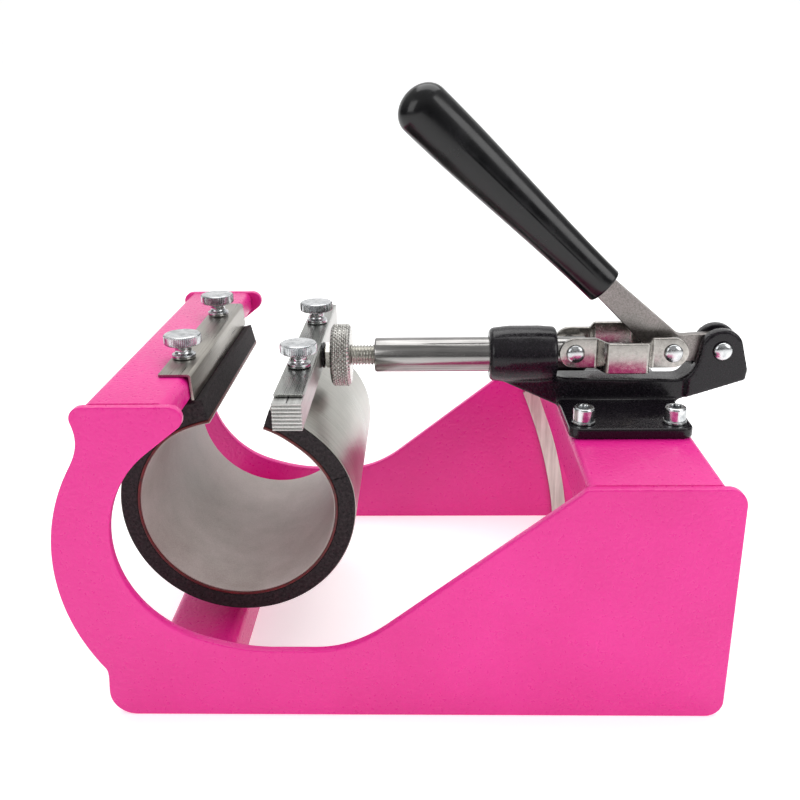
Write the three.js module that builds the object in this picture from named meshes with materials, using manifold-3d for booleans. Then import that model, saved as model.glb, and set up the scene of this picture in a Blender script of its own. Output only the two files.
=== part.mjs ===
// Mug heat press: a painted steel cradle, a flexible C-shaped heater that wraps a mug, and a
// push-pull toggle clamp that draws the heater's loose end in and out.
// Millimetres, +Z up, +X from the heater towards the clamp, -Y towards the user's side.
// The origin is at the middle of the whole press's box, on the surface that it stands on.
import * as THREE from 'three';
import { mergeVertices } from 'three/addons/utils/BufferGeometryUtils.js';
import Module from 'manifold-3d';

const wasm = await Module();
wasm.setup();

// ---------------------------------------------------------------- clearances
const gap = 0.3;             // between pieces that rest on each other
const runFit = 0.15;         // radial, round a pin or shaft that turns or slides
const screwFit = 0.3;        // radial, round a screw in its hole

// ---------------------------------------------------------------- frame sizes
const baseLength = 280;      // side plates, end to end
const baseWidth = 191;       // over the outer faces of the two side plates
const plateThickness = 4;
const platformHeight = 107.5; // top of the clamp's platform
const platformLength = 62;   // flat top of the side plates under the clamp
const lobeRise = 35.5;       // top of the heater's crossbar above the platform
const throatRadius = 49.2;   // round cut that the heater sits in
const throatFromLeft = 74.4; // throat's centre from the left end of the plate
const throatBelowTop = 58.2; // throat's centre below the top of the lobe
const throatToFloor = 52.3;  // floor of the cut-out below the throat's centre
const backRadius = 85.2;     // round outer back of the cradle
const footSetBack = 16.1;    // foot's left edge in from the left end
const footRadius = 10.9;
const cornerRadius = 7.5;    // plate's right-hand corners

// ---------------------------------------------------------------- frame sheet parts
const crossbarWidth = 34.8;
const crossbarSheet = 2;
const crossbarBackFlange = 20;
const crossbarFrontFlange = 9.5;
const lowerBarWidth = 35.5;
const lowerBarHeight = 20;
const lowerBarSheet = 2.5;
const lowerBarFromLeft = 31.5;
const platformWidth = 54.7;
const platformSheet = 2;
const platformFlange = 21.5;
const platformBend = 3;
const guardWidth = 8.4;      // curved strip on the rear plate's inner face
const guardSheet = 1.5;
const guardFromPlatform = 13.2; // strip's foot, right of the platform's left end
const guardLean = 20.5;      // how far its head stands left of its foot

// ---------------------------------------------------------------- heater
const heaterBore = 85.2;     // inside diameter, round an 82 mm mug
const heaterLength = 120;
const matThickness = 1.4;
const elementThickness = 0.6;
const foamThickness = 6.2;
const bandThickness = 0.5;
const heaterLeftAngle = 103;  // fixed end of the C, degrees from +X
const heaterTurnIn = 5;      // where the loose side leaves the circle, degrees from +X
const heaterTipAngle = 70;   // loose end of the C, degrees from +X
const heaterTurnSpan = 50;   // how far round it takes to close in on the jaw, degrees
const fixedEndThicker = 1.8; // extra foam at the fixed end
const fixedEndSpan = 34;     // how far round the extra foam tapers off, degrees
const heaterLeftOfThroat = 3.9;
const heaterBelowThroat = 2.3;

// ---------------------------------------------------------------- heater bracket and jaw
const bracketWidth = 13.8;
const bracketSheet = 1.2;
const jawLength = 160;
const jawWidth = 12.3;
const jawHeight = 11.8;
const jawDrop = 1.2;         // jaw bar's middle below the spindle's axis
const jawFromThroat = 23.4;  // jaw bar's middle, right of the throat's centre
const jawCoverSheet = 1.2;
const jawCoverLength = 146;
const jawGroove = 0.8;
const thumbSpacing = 73;
const thumbHead = 16.4;      // diameter
const thumbShank = 5;        // diameter
const thumbReach = 9.6;      // length of shank under the collar

// ---------------------------------------------------------------- spindle
const spindleDiameter = 10;
const spindleInBar = 8;
const spindleNose = 7;       // turned-down end in the jaw bar, diameter
const spindleInPlunger = 30;
const threadShown = 11.3;    // between the wheel and the plunger
const wheelDiameter = 29.8;
const wheelWidth = 9.3;
const hubFlats = 11;
const hubWidth = 3;
const jawWasherThickness = 1.2;

// ---------------------------------------------------------------- toggle clamp
const plungerDiameter = 16.5;
const clampAxisHeight = 26.3; // plunger's axis above the platform
const pinRise = 3.2;         // pins above the plunger's axis
const pivotPastPlatform = 74.2; // fixed pivot right of the platform's left end
const crankLength = 23.5;    // fixed pivot to link pin
const linkLength = 45.3;     // link pin to plunger pin
const pinDiameter = 6.4;
const rivetHead = 8.6;       // diameter
const rivetDome = 2.1;
const barrelWall = 5.35;
const barrelLength = 31.7;
const flangeLength = 55;
const flangeWidth = 89;
const flangeThickness = 4.8;
const boltSpacingX = 40.6;
const boltSpacingY = 72;
const boltDiameter = 5;
const boltHead = 9.5;
const boltHeadHeight = 5.8;
const washerDiameter = 10.6;
const washerThickness = 1.1;
const nutThickness = 4;
const nutDiameter = 7.6;      // round clinch nuts under the platform
const webThickness = 14;
const webBelowPlunger = 2.15; // the web's top under the plunger
const leverThickness = 5;
const cheekInset = 0.05;     // fork's outer faces inside the plunger's sides
const linkSheet = 2.5;
const linkJoggle = 9;
const joggleFoot = 9;          // from the plunger pin to where the link starts to bend out
const joggleRamp = 5;
const linkHalfHeight = 7.2;

// ---------------------------------------------------------------- handle
const armAngle = 136.4;      // handle above +X, degrees
const gripReach = 62.3;      // fixed pivot to the grip's lower end
const gripLength = 126;
const gripLowWidth = 18;
const gripHighWidth = 24.8;
const gripFlatness = 0.74;   // grip's depth over its width
const armWidth = 11.2;
const armInGrip = 60;

// ---------------------------------------------------------------- derived places
const plateOuterY = baseWidth / 2;
const plateInnerY = plateOuterY - plateThickness;
const leftEnd = -baseLength / 2;
const rightEnd = baseLength / 2;
const platformLeft = rightEnd - platformLength;
const lobeTop = platformHeight + lobeRise;
const throatX = leftEnd + throatFromLeft;
const throatZ = lobeTop - throatBelowTop;
const floorZ = throatZ - throatToFloor;
const heaterX = throatX - heaterLeftOfThroat;
const heaterZ = throatZ - heaterBelowThroat;
const matOffset = heaterBore / 2;
const elementOffset = matOffset + matThickness + gap;
const foamOffset = elementOffset + elementThickness + gap;
const bandOffset = foamOffset + foamThickness + gap;
const heaterOuter = bandOffset + bandThickness;
const axisZ = platformHeight + clampAxisHeight;
const pinZ = axisZ + pinRise;
const pivotX = platformLeft + pivotPastPlatform;
const linkPinX = pivotX - crankLength;
const plungerPinX = linkPinX - linkLength;
const jawX = throatX + jawFromThroat;
const jawRight = jawX + jawWidth / 2;
const jawTop = axisZ - jawDrop + jawHeight / 2;
const jawBottom = axisZ - jawDrop - jawHeight / 2;
const jawReach = Math.hypot(jawX - jawWidth / 2 - heaterX, jawBottom - heaterZ);
const tipRadius = jawReach - gap - (heaterOuter - matOffset); // inner face at the loose end
const hubLeft = jawRight + jawWasherThickness + 2 * gap;
const wheelLeft = hubLeft + hubWidth;
const wheelRight = wheelLeft + wheelWidth;
const plungerLeft = wheelRight + threadShown;
const crossbarRight = heaterX - 16.7;
const crossbarLeft = crossbarRight - crossbarWidth;
const bracketRight = crossbarRight + gap + bracketSheet;
const bracketTop = lobeTop + gap + bracketSheet;
const bracketMid = bracketRight - bracketWidth / 2 - 1.4;
const flangeTop = platformHeight + gap + flangeThickness;
const boltMidX = platformLeft + 26.65;
const cheekOuter = plungerDiameter / 2 - cheekInset;
const linkInner = cheekOuter + gap;
const barrelRadius = plungerDiameter / 2 + barrelWall;
const webTop = axisZ - plungerDiameter / 2 - webBelowPlunger;
const guardTop = platformHeight - platformFlange - guardWidth / 2; // clears the platform's flange

// ---------------------------------------------------------------- finishes
const finish = (colour, roughness, metalness) =>
  new THREE.MeshStandardMaterial({ color: colour, roughness, metalness });
const pinkPaint = () => finish(0xe83192, 0.5, 0.1);
const stainless = () => finish(0xb9b4aa, 0.35, 1);
const chromed = () => finish(0xd6d9da, 0.12, 1);
const zincSteel = () => finish(0xa9a59f, 0.4, 1);
const blackEnamel = () => finish(0x17131a, 0.35, 0.2);
const blackVinyl = () => finish(0x0d0d10, 0.22, 0);
const greyMat = () => finish(0xb7aaa2, 0.9, 0);
const redSilicone = () => finish(0x6e1d1a, 0.6, 0);
const charcoalFoam = () => finish(0x2d2728, 0.95, 0);
const aluminium = () => finish(0xbdbcb4, 0.45, 1);

// ---------------------------------------------------------------- helpers
const press = new THREE.Group();
const radians = THREE.MathUtils.degToRad;

function addPart(name, geometry, material, x = 0, y = 0, z = 0) {
  const mesh = new THREE.Mesh(geometry, material);
  mesh.name = name;
  mesh.position.set(x, y, z);
  press.add(mesh);
  return mesh;
}

// A three.js geometry as a manifold-3d solid, and back.
function toSolid(geometry) {
  const bare = geometry.index ? geometry.toNonIndexed() : geometry.clone();
  bare.deleteAttribute('normal');
  bare.deleteAttribute('uv');
  const merged = mergeVertices(bare, 1e-4);
  const vertProperties = new Float32Array(merged.attributes.position.array);
  const triVerts = new Uint32Array(merged.index.array);
  return new wasm.Manifold(new wasm.Mesh({ numProp: 3, vertProperties, triVerts }));
}

function toGeometry(solid) {
  const mesh = solid.getMesh();
  const geometry = new THREE.BufferGeometry();
  geometry.setAttribute('position', new THREE.BufferAttribute(mesh.vertProperties, 3));
  geometry.setIndex(new THREE.BufferAttribute(mesh.triVerts, 1));
  geometry.computeVertexNormals();
  return geometry;
}

function cut(body, ...tools) {
  return toGeometry(tools.reduce((left, tool) => left.subtract(toSolid(tool)), toSolid(body)));
}

function join(...pieces) {
  const [first, ...rest] = pieces.map(toSolid);
  return toGeometry(rest.reduce((whole, piece) => whole.add(piece), first));
}

// A shape drawn in X and Z, as thick as fromY to toY.
function slabXZ(shape, fromY, toY, curveSegments = 8) {
  const options = { depth: toY - fromY, bevelEnabled: false, curveSegments };
  return new THREE.ExtrudeGeometry(shape, options).rotateX(Math.PI / 2).translate(0, toY, 0);
}

// A shape drawn in X and Y, from fromZ up to toZ.
function slabXY(shape, fromZ, toZ, curveSegments = 5) {
  const options = { depth: toZ - fromZ, bevelEnabled: false, curveSegments };
  return new THREE.ExtrudeGeometry(shape, options).translate(0, 0, fromZ);
}

// A profile of [radius, height] pairs turned about Z, X or Y.
function turnedZ(profile, segments = 16) {
  const points = profile.map(([radius, height]) => new THREE.Vector2(radius, height));
  return new THREE.LatheGeometry(points, segments).rotateX(Math.PI / 2);
}

function turnedX(profile, segments = 24) {
  const points = profile.map(([radius, height]) => new THREE.Vector2(radius, height));
  return new THREE.LatheGeometry(points, segments).rotateZ(-Math.PI / 2);
}

function turnedY(profile, segments = 16) {
  const points = profile.map(([radius, height]) => new THREE.Vector2(radius, height));
  return new THREE.LatheGeometry(points, segments);
}

const rod = (radius, from, to) => [[0, from], [radius, from], [radius, to], [0, to]];
const ring = (inner, outer, from, to) =>
  [[inner, from], [outer, from], [outer, to], [inner, to], [inner, from]];

function box(fromX, toX, fromY, toY, fromZ, toZ) {
  return new THREE.BoxGeometry(toX - fromX, toY - fromY, toZ - fromZ)
    .translate((fromX + toX) / 2, (fromY + toY) / 2, (fromZ + toZ) / 2);
}

function polygon(points) {
  return new THREE.Shape(points.map(([x, y]) => new THREE.Vector2(x, y)));
}

function roundedRectangle(fromX, toX, fromY, toY, radius) {
  const shape = new THREE.Shape();
  shape.absarc(toX - radius, fromY + radius, radius, -Math.PI / 2, 0);
  shape.absarc(toX - radius, toY - radius, radius, 0, Math.PI / 2);
  shape.absarc(fromX + radius, toY - radius, radius, Math.PI / 2, Math.PI);
  shape.absarc(fromX + radius, fromY + radius, radius, Math.PI, 1.5 * Math.PI);
  return shape;
}

function circleHole(x, y, radius) {
  const hole = new THREE.Path();
  hole.absarc(x, y, radius, 0, 2 * Math.PI, true);
  return hole;
}

function hexagon(flats, holeRadius = 0) {
  const corner = flats / Math.sqrt(3);
  const points = [];
  for (let side = 0; side < 6; side += 1) {
    const angle = radians(60 * side + 30);
    points.push([corner * Math.cos(angle), corner * Math.sin(angle)]);
  }
  const shape = polygon(points);
  if (holeRadius > 0) {
    shape.holes.push(circleHole(0, 0, holeRadius));
  }
  return shape;
}

// A sheet bent along X and Z: the strip between a run of points and the same run moved in
// by the sheet's thickness, to the right-hand side of the direction of travel.
function bentSheet(points, thickness) {
  const middle = points.map(([x, z]) => new THREE.Vector2(x, z));
  const inner = middle.map((point, index) => {
    const before = middle[Math.max(index - 1, 0)];
    const after = middle[Math.min(index + 1, middle.length - 1)];
    const first = point.clone().sub(before).normalize();
    const second = after.clone().sub(point).normalize();
    const along = first.add(second).normalize();
    const side = new THREE.Vector2(along.y, -along.x);
    const edge = index > 0 ? point.clone().sub(before).normalize() : along;
    const square = Math.max(side.dot(new THREE.Vector2(edge.y, -edge.x)), 0.3);
    return point.clone().addScaledVector(side, thickness / square);
  });
  return new THREE.Shape([...middle, ...inner.reverse()]);
}

// Points of a round bend of the given radius at a corner, between two straight legs.
function bend(cornerX, cornerZ, radius, fromAngle, toAngle, steps = 5) {
  const points = [];
  for (let step = 0; step <= steps; step += 1) {
    const angle = radians(fromAngle + ((toAngle - fromAngle) * step) / steps);
    points.push([cornerX + radius * Math.cos(angle), cornerZ + radius * Math.sin(angle)]);
  }
  return points;
}

// ---------------------------------------------------------------- side plates
function sidePlateShape() {
  const shape = new THREE.Shape();
  const footLeft = leftEnd + footSetBack;
  const lobeRightX = throatX - 19.9;
  const lobeLeftX = throatX - 54;
  const lobeRadius = 5;
  const backX = leftEnd + backRadius;
  const backZ = throatZ - 11.8;
  const slopeTopX = platformLeft - 3.2;
  const slopeFootX = throatX + 48.5;
  const wristAngle = radians(127);
  const heelAngle = radians(250);
  shape.moveTo(footLeft + footRadius, 0);
  shape.lineTo(rightEnd - cornerRadius, 0);
  shape.absarc(rightEnd - cornerRadius, cornerRadius, cornerRadius, -Math.PI / 2, 0);
  shape.absarc(rightEnd - cornerRadius, platformHeight - cornerRadius, cornerRadius, 0, Math.PI / 2);
  shape.lineTo(platformLeft + 1, platformHeight);
  shape.quadraticCurveTo(platformLeft - 1.4, platformHeight, slopeTopX, platformHeight - 2.4);
  shape.lineTo(slopeFootX + 16, floorZ + (16 / (slopeTopX - slopeFootX)) * (platformHeight - floorZ));
  shape.quadraticCurveTo(slopeFootX, floorZ, slopeFootX - 16, floorZ);
  shape.lineTo(throatX + 14, floorZ);
  const heelX = throatX + throatRadius * Math.cos(heelAngle);
  const heelZ = throatZ + throatRadius * Math.sin(heelAngle);
  shape.quadraticCurveTo(throatX, floorZ, heelX, heelZ);
  shape.absarc(throatX, throatZ, throatRadius, heelAngle, wristAngle, true);
  shape.absarc(lobeRightX, lobeTop - lobeRadius, lobeRadius, radians(-50), Math.PI / 2);
  shape.absarc(lobeLeftX, lobeTop - lobeRadius, lobeRadius, Math.PI / 2, radians(200));
  const neckX = backX + backRadius * Math.cos(radians(149));
  const neckZ = backZ + backRadius * Math.sin(radians(149));
  shape.bezierCurveTo(lobeLeftX - 2.2, lobeTop - 14.5, neckX + 3.6, neckZ + 6, neckX, neckZ);
  shape.absarc(backX, backZ, backRadius, radians(149), radians(215.4));
  const heelOutX = backX + backRadius * Math.cos(radians(215.4));
  const heelOutZ = backZ + backRadius * Math.sin(radians(215.4));
  shape.bezierCurveTo(heelOutX + 1.7, heelOutZ - 2.4, footLeft, footRadius + 5, footLeft, footRadius);
  shape.absarc(footLeft + footRadius, footRadius, footRadius, Math.PI, 1.5 * Math.PI);
  return shape;
}

function addSidePlates() {
  const front = slabXZ(sidePlateShape(), -plateOuterY, -plateInnerY, 10);
  const rear = slabXZ(sidePlateShape(), plateInnerY, plateOuterY, 10);
  addPart('front_side_plate', front, pinkPaint());
  addPart('rear_side_plate', rear, pinkPaint());
}

// ---------------------------------------------------------------- frame sheet parts
const barEndY = plateInnerY - gap;

// An inverted channel with round outer bends, its flanges hanging from a flat top.
function channelShape(left, right, top, leftDrop, rightDrop, sheet, radius) {
  const outer = [
    [left, top - leftDrop],
    ...bend(left + radius, top - radius, radius, 180, 90),
    ...bend(right - radius, top - radius, radius, 90, 0),
    [right, top - rightDrop],
  ];
  return bentSheet(outer, sheet);
}

function thumbHoles(x, fromZ, toZ) {
  return [-1, 1].map((side) => turnedZ(rod(thumbShank / 2 + screwFit, fromZ, toZ))
    .translate(x, (side * thumbSpacing) / 2, 0));
}

function addTopCrossbar() {
  const shape = channelShape(crossbarLeft, crossbarRight, lobeTop, crossbarBackFlange,
    crossbarFrontFlange, crossbarSheet, 4.5);
  const bar = slabXZ(shape, -barEndY, barEndY);
  const holes = thumbHoles(bracketMid, lobeTop - 5, lobeTop + 5);
  addPart('top_crossbar', cut(bar, ...holes), pinkPaint());
}

function addLowerCrossbar() {
  const left = leftEnd + lowerBarFromLeft;
  const shape = channelShape(left, left + lowerBarWidth, lowerBarHeight, lowerBarHeight - 1,
    lowerBarHeight - 1, lowerBarSheet, 5);
  addPart('lower_crossbar', slabXZ(shape, -barEndY, barEndY), pinkPaint());
}

function boltPlaces() {
  const places = [];
  for (const [row, sideY] of [['front', -1], ['rear', 1]]) {
    for (const [column, sideX] of [['left', -1], ['right', 1]]) {
      const x = boltMidX + (sideX * boltSpacingX) / 2;
      places.push({ name: `${row}_${column}`, x, y: (sideY * boltSpacingY) / 2 });
    }
  }
  return places;
}

function addPlatform() {
  const shape = channelShape(platformLeft, platformLeft + platformWidth, platformHeight,
    platformFlange, platformFlange, platformSheet, platformBend);
  const holes = boltPlaces().map(({ x, y }) =>
    turnedZ(rod(boltDiameter / 2 + screwFit, platformHeight - 6, platformHeight + 6)).translate(x, y, 0));
  addPart('clamp_platform', cut(slabXZ(shape, -barEndY, barEndY), ...holes), pinkPaint());
}

// A flat stainless strip that curves up the rear plate's inner face towards the platform.
function addGuardStrip() {
  const footX = platformLeft + guardFromPlatform;
  const foot = new THREE.Vector2(footX, 1);
  const pull = new THREE.Vector2(footX - 4, guardTop / 2);
  const head = new THREE.Vector2(footX - guardLean, guardTop);
  const curve = new THREE.QuadraticBezierCurve(foot, pull, head);
  const points = curve.getPoints(16).map((point) => [point.x, point.y]);
  const strip = slabXZ(bentSheet(points, guardWidth), barEndY - guardSheet, barEndY);
  addPart('rear_guard_strip', strip, stainless());
}

// ---------------------------------------------------------------- heater
const smooth = (at) => THREE.MathUtils.smoothstep(at, 0, 1);

// The heater's inner face: round from the fixed end to the bottom and up the loose side, where
// it closes in to pass under the jaw bar. The foam is thicker towards the fixed end, which
// moves the face in by extra. Each point is { point, outward, extra }.
function heaterRun(fromAngle, toAngle, steps) {
  const run = [];
  for (let step = 0; step <= steps; step += 1) {
    const degrees = fromAngle + ((toAngle - fromAngle) * step) / steps;
    const angle = radians(degrees);
    const outward = new THREE.Vector2(Math.cos(angle), Math.sin(angle));
    const closed = smooth((degrees - 360 - heaterTurnIn) / heaterTurnSpan);
    const radius = matOffset + (tipRadius - matOffset) * closed;
    const extra = fixedEndThicker * smooth(1 - (degrees - heaterLeftAngle) / fixedEndSpan);
    const point = new THREE.Vector2(heaterX, heaterZ).addScaledVector(outward, radius);
    run.push({ point, outward, extra });
  }
  return run;
}

// One layer of the heater between two offsets from its inner face. Each face of the layer
// either moves in with the thicker foam or stays out.
function layerGeometry(run, from, to, foldsIn) {
  const face = (offset, moves) => run.map(({ point, outward, extra }) =>
    point.clone().addScaledVector(outward, offset - matOffset - (moves ? extra : 0)));
  const inner = face(from, foldsIn.inner);
  const outer = face(to, foldsIn.outer);
  const shape = new THREE.Shape([...inner, ...outer.reverse()]);
  return slabXZ(shape, -heaterLength / 2, heaterLength / 2);
}

function addHeater() {
  const seam = (gap / 2 / heaterOuter) * (180 / Math.PI) + 0.1;
  const fixedRun = heaterRun(heaterLeftAngle, 270 - seam, 24);
  const looseRun = heaterRun(270 + seam, 360 + heaterTipAngle, 26);
  const layers = [
    ['inner_mat', matOffset, matThickness, greyMat, { inner: true, outer: true }],
    ['heating_layer', elementOffset, elementThickness, redSilicone, { inner: true, outer: true }],
    ['foam_pad', foamOffset, foamThickness, charcoalFoam, { inner: true, outer: false }],
    ['outer_band', bandOffset, bandThickness, stainless, { inner: false, outer: false }],
  ];
  for (const [name, offset, thickness, material, foldsIn] of layers) {
    const top = offset + thickness;
    addPart(`${name}_fixed`, layerGeometry(fixedRun, offset, top, foldsIn), material());
    addPart(`${name}_loose`, layerGeometry(looseRun, offset, top, foldsIn), material());
  }
}

// ---------------------------------------------------------------- thumb screws
// A knurled round head, a waisted neck, a collar and a threaded shank, from the collar's
// underside at height 0.
function thumbScrewGeometry() {
  const head = thumbHead / 2;
  const shank = thumbShank / 2;
  return turnedZ([
    [0, -thumbReach], [shank - 0.5, -thumbReach], [shank, -thumbReach + 0.6], [shank, 0],
    [5.1, 0], [5.1, 1.6], [4, 3], [4, 5.2], [5.2, 6], [head - 0.5, 6.2], [head, 6.8],
    [head, 9.9], [head - 0.9, 10.7], [head - 4, 11.1], [0, 11.2],
  ]);
}

function addThumbScrews(prefix, x, seat) {
  addPart(`${prefix}_front_thumb_screw`, thumbScrewGeometry(), chromed(), x, -thumbSpacing / 2, seat);
  addPart(`${prefix}_rear_thumb_screw`, thumbScrewGeometry(), chromed(), x, thumbSpacing / 2, seat);
}

// ---------------------------------------------------------------- heater bracket
function addBracket() {
  const dip = heaterOuter + gap;
  const across = heaterX - (crossbarRight + gap);
  const flangeFoot = heaterZ + Math.sqrt(dip * dip - across * across) + 2 * gap;
  const shape = bentSheet([
    [bracketRight - bracketWidth, bracketTop],
    ...bend(bracketRight - 1.5, bracketTop - 1.5, 1.5, 90, 0, 3),
    [bracketRight + 0.6, flangeFoot],
  ], bracketSheet);
  const body = slabXZ(shape, -heaterLength / 2, heaterLength / 2);
  const holes = thumbHoles(bracketMid, bracketTop - 4, bracketTop + 4);
  addPart('heater_bracket', cut(body, ...holes), stainless());
  addThumbScrews('bracket', bracketMid, bracketTop + gap);
  const nutTop = lobeTop - crossbarSheet - gap;
  for (const [row, side] of [['front', -1], ['rear', 1]]) {
    const nut = slabXY(hexagon(6.4, thumbShank / 2 + runFit), -4, 0);
    addPart(`crossbar_${row}_weld_nut`, nut, zincSteel(), bracketMid, (side * thumbSpacing) / 2, nutTop);
  }
}

// ---------------------------------------------------------------- jaw
function addJaw() {
  const halfLength = jawLength / 2;
  const bar = box(jawX - jawWidth / 2, jawRight, -halfLength, halfLength, jawBottom, jawTop);
  const socket = turnedX(rod(spindleNose / 2 + runFit, jawRight - spindleInBar, jawRight + 1))
    .translate(0, 0, axisZ);
  const groove = box(jawX - jawGroove / 2, jawX + jawGroove / 2, -halfLength - 1, halfLength + 1,
    jawTop - 1.5, jawTop + 1);
  const cover = jawTop + gap + jawCoverSheet;
  const tapped = thumbHoles(jawX, cover - thumbReach - gap, jawTop + 1);
  addPart('jaw_bar', cut(bar, groove, socket, ...tapped), aluminium());
  const sheet = box(jawX - jawWidth / 2, jawRight, -jawCoverLength / 2, jawCoverLength / 2,
    jawTop + gap, cover);
  addPart('jaw_cover_plate', cut(sheet, ...thumbHoles(jawX, jawTop - 2, cover + 2)), stainless());
  addThumbScrews('jaw', jawX, cover + gap);
}

// ---------------------------------------------------------------- spindle
function addSpindle() {
  const radius = spindleDiameter / 2;
  const tail = plungerLeft + spindleInPlunger;
  const nose = jawRight - spindleInBar + gap;
  const shoulder = jawRight + gap;
  const end = spindleNose / 2;
  const spindle = turnedX([[0, nose], [end - 0.5, nose], [end, nose + 0.5], [end, shoulder],
    [radius, shoulder], [radius, tail - 1], [radius - 1, tail], [0, tail]]);
  addPart('spindle', spindle, zincSteel(), 0, 0, axisZ);
  const washer = turnedX(ring(radius + runFit, 6.2, jawRight + gap, jawRight + gap + jawWasherThickness));
  addPart('jaw_washer', washer, blackEnamel(), 0, 0, axisZ);
  const rim = wheelDiameter / 2;
  const wheel = turnedX([[0, wheelLeft], [rim - 1.2, wheelLeft], [rim, wheelLeft + 1.2],
    [rim, wheelRight - 1.2], [rim - 1.2, wheelRight], [0, wheelRight]], 36);
  const hub = slabXY(hexagon(hubFlats), -hubWidth, 0.5).rotateY(Math.PI / 2).translate(wheelLeft, 0, 0);
  const bore = turnedX(rod(radius + runFit, hubLeft - 1, wheelRight + 1));
  addPart('knurled_wheel', cut(join(wheel, hub), bore), stainless(), 0, 0, axisZ);
}

// ---------------------------------------------------------------- clamp
function addPlunger() {
  const radius = plungerDiameter / 2;
  const tail = plungerPinX + linkHalfHeight + 0.6;
  const blank = turnedX([[0, plungerLeft], [radius - 1, plungerLeft], [radius, plungerLeft + 1],
    [radius, tail - 2], [radius - 2, tail], [0, tail]], 28);
  const threadEnd = plungerLeft + spindleInPlunger + 12;
  const thread = turnedX(rod(spindleDiameter / 2 + runFit, plungerLeft - 1, threadEnd));
  const cross = turnedY(rod(pinDiameter / 2 + runFit, -radius - 1, radius + 1))
    .translate(plungerPinX, 0, pinRise);
  addPart('plunger', cut(blank, thread, cross), stainless(), 0, 0, axisZ);
}

// The cast body's side outline in the plane of its web, from the barrel to the fork.
function webShape(left, barrelRight) {
  const shape = new THREE.Shape();
  const ramp = platformHeight + gap;
  shape.moveTo(left + 4, axisZ - barrelRadius + 3);
  shape.lineTo(platformLeft + 3, ramp);
  shape.lineTo(platformLeft + flangeLength - 3, ramp);
  shape.lineTo(platformLeft + flangeLength + 1, flangeTop);
  shape.lineTo(pivotX + 12.3, pinZ - 14.5);
  shape.lineTo(pivotX + 12.6, pinZ - 9);
  shape.absarc(pivotX, pinZ, 10, radians(25), radians(160));
  shape.quadraticCurveTo(pivotX - 11, pinZ - 14, pivotX - 20, pinZ - 14.5);
  shape.lineTo(barrelRight + 6, webTop);
  shape.quadraticCurveTo(barrelRight - 1, webTop, barrelRight - 2, axisZ - 6);
  shape.lineTo(left + 4, axisZ - 6);
  return shape;
}

function addClampBody() {
  const barrelRight = plungerPinX - linkHalfHeight - 0.7;
  const left = barrelRight - barrelLength;
  const barrel = turnedX([[0, left], [barrelRadius - 2.4, left], [barrelRadius - 0.9, left + 1.4],
    [barrelRadius, left + 9], [barrelRadius, barrelRight - 8], [barrelRadius - 0.5, barrelRight - 1],
    [barrelRadius - 1.3, barrelRight], [0, barrelRight]], 28).translate(0, 0, axisZ);
  const web = slabXZ(webShape(left, barrelRight), -webThickness / 2, webThickness / 2);
  const forkShape = webShape(left, barrelRight);
  const fork = slabXZ(forkShape, -cheekOuter, cheekOuter);
  const forkOnly = toGeometry(toSolid(fork).intersect(
    toSolid(box(pivotX - 15, pivotX + 20, -20, 20, platformHeight + 2, pinZ + 20))));
  const flangeShape = roundedRectangle(boltMidX - flangeLength / 2, boltMidX + flangeLength / 2,
    -flangeWidth / 2, flangeWidth / 2, 5);
  const flange = slabXY(flangeShape, platformHeight + gap, flangeTop);
  const slotHalf = leverThickness / 2 + gap;
  const slot = box(pivotX - 30, pivotX + 30, -slotHalf, slotHalf, pinZ - 8.5, pinZ + 30);
  const bore = turnedX(rod(plungerDiameter / 2 + runFit, left - 1, barrelRight + 7), 28)
    .translate(0, 0, axisZ);
  const pivotBore = turnedY(rod(pinDiameter / 2 + runFit, -20, 20)).translate(pivotX, 0, pinZ);
  const boltHoles = boltPlaces().map(({ x, y }) =>
    turnedZ(rod(boltDiameter / 2 + screwFit, platformHeight - 3, flangeTop + 3)).translate(x, y, 0));
  const body = join(barrel, web, forkOnly, flange);
  addPart('clamp_body', cut(body, slot, bore, pivotBore, ...boltHoles), blackEnamel());
}

function addFlangeBolts() {
  const shank = boltDiameter / 2;
  const washerFoot = flangeTop + gap;
  const headFoot = washerFoot + washerThickness + gap;
  const nutTop = platformHeight - platformSheet - gap;
  const tip = nutTop - nutThickness - 2;
  for (const { name, x, y } of boltPlaces()) {
    const screw = turnedZ([[0, tip], [shank - 0.6, tip], [shank, tip + 0.6], [shank, headFoot],
      [boltHead / 2, headFoot], [boltHead / 2, headFoot + boltHeadHeight - 1],
      [boltHead / 2 - 0.9, headFoot + boltHeadHeight], [2.7, headFoot + boltHeadHeight],
      [2.7, headFoot + boltHeadHeight - 2.6], [0, headFoot + boltHeadHeight - 2.8]]);
    addPart(`${name}_flange_screw`, screw, chromed(), x, y, 0);
    const washerTop = washerFoot + washerThickness;
    const washer = turnedZ(ring(shank + screwFit, washerDiameter / 2, washerFoot, washerTop));
    addPart(`${name}_flange_washer`, washer, chromed(), x, y, 0);
    const nut = turnedZ(ring(shank + runFit, nutDiameter / 2, nutTop - nutThickness, nutTop));
    addPart(`${name}_flange_nut`, nut, zincSteel(), x, y, 0);
  }
}

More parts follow.
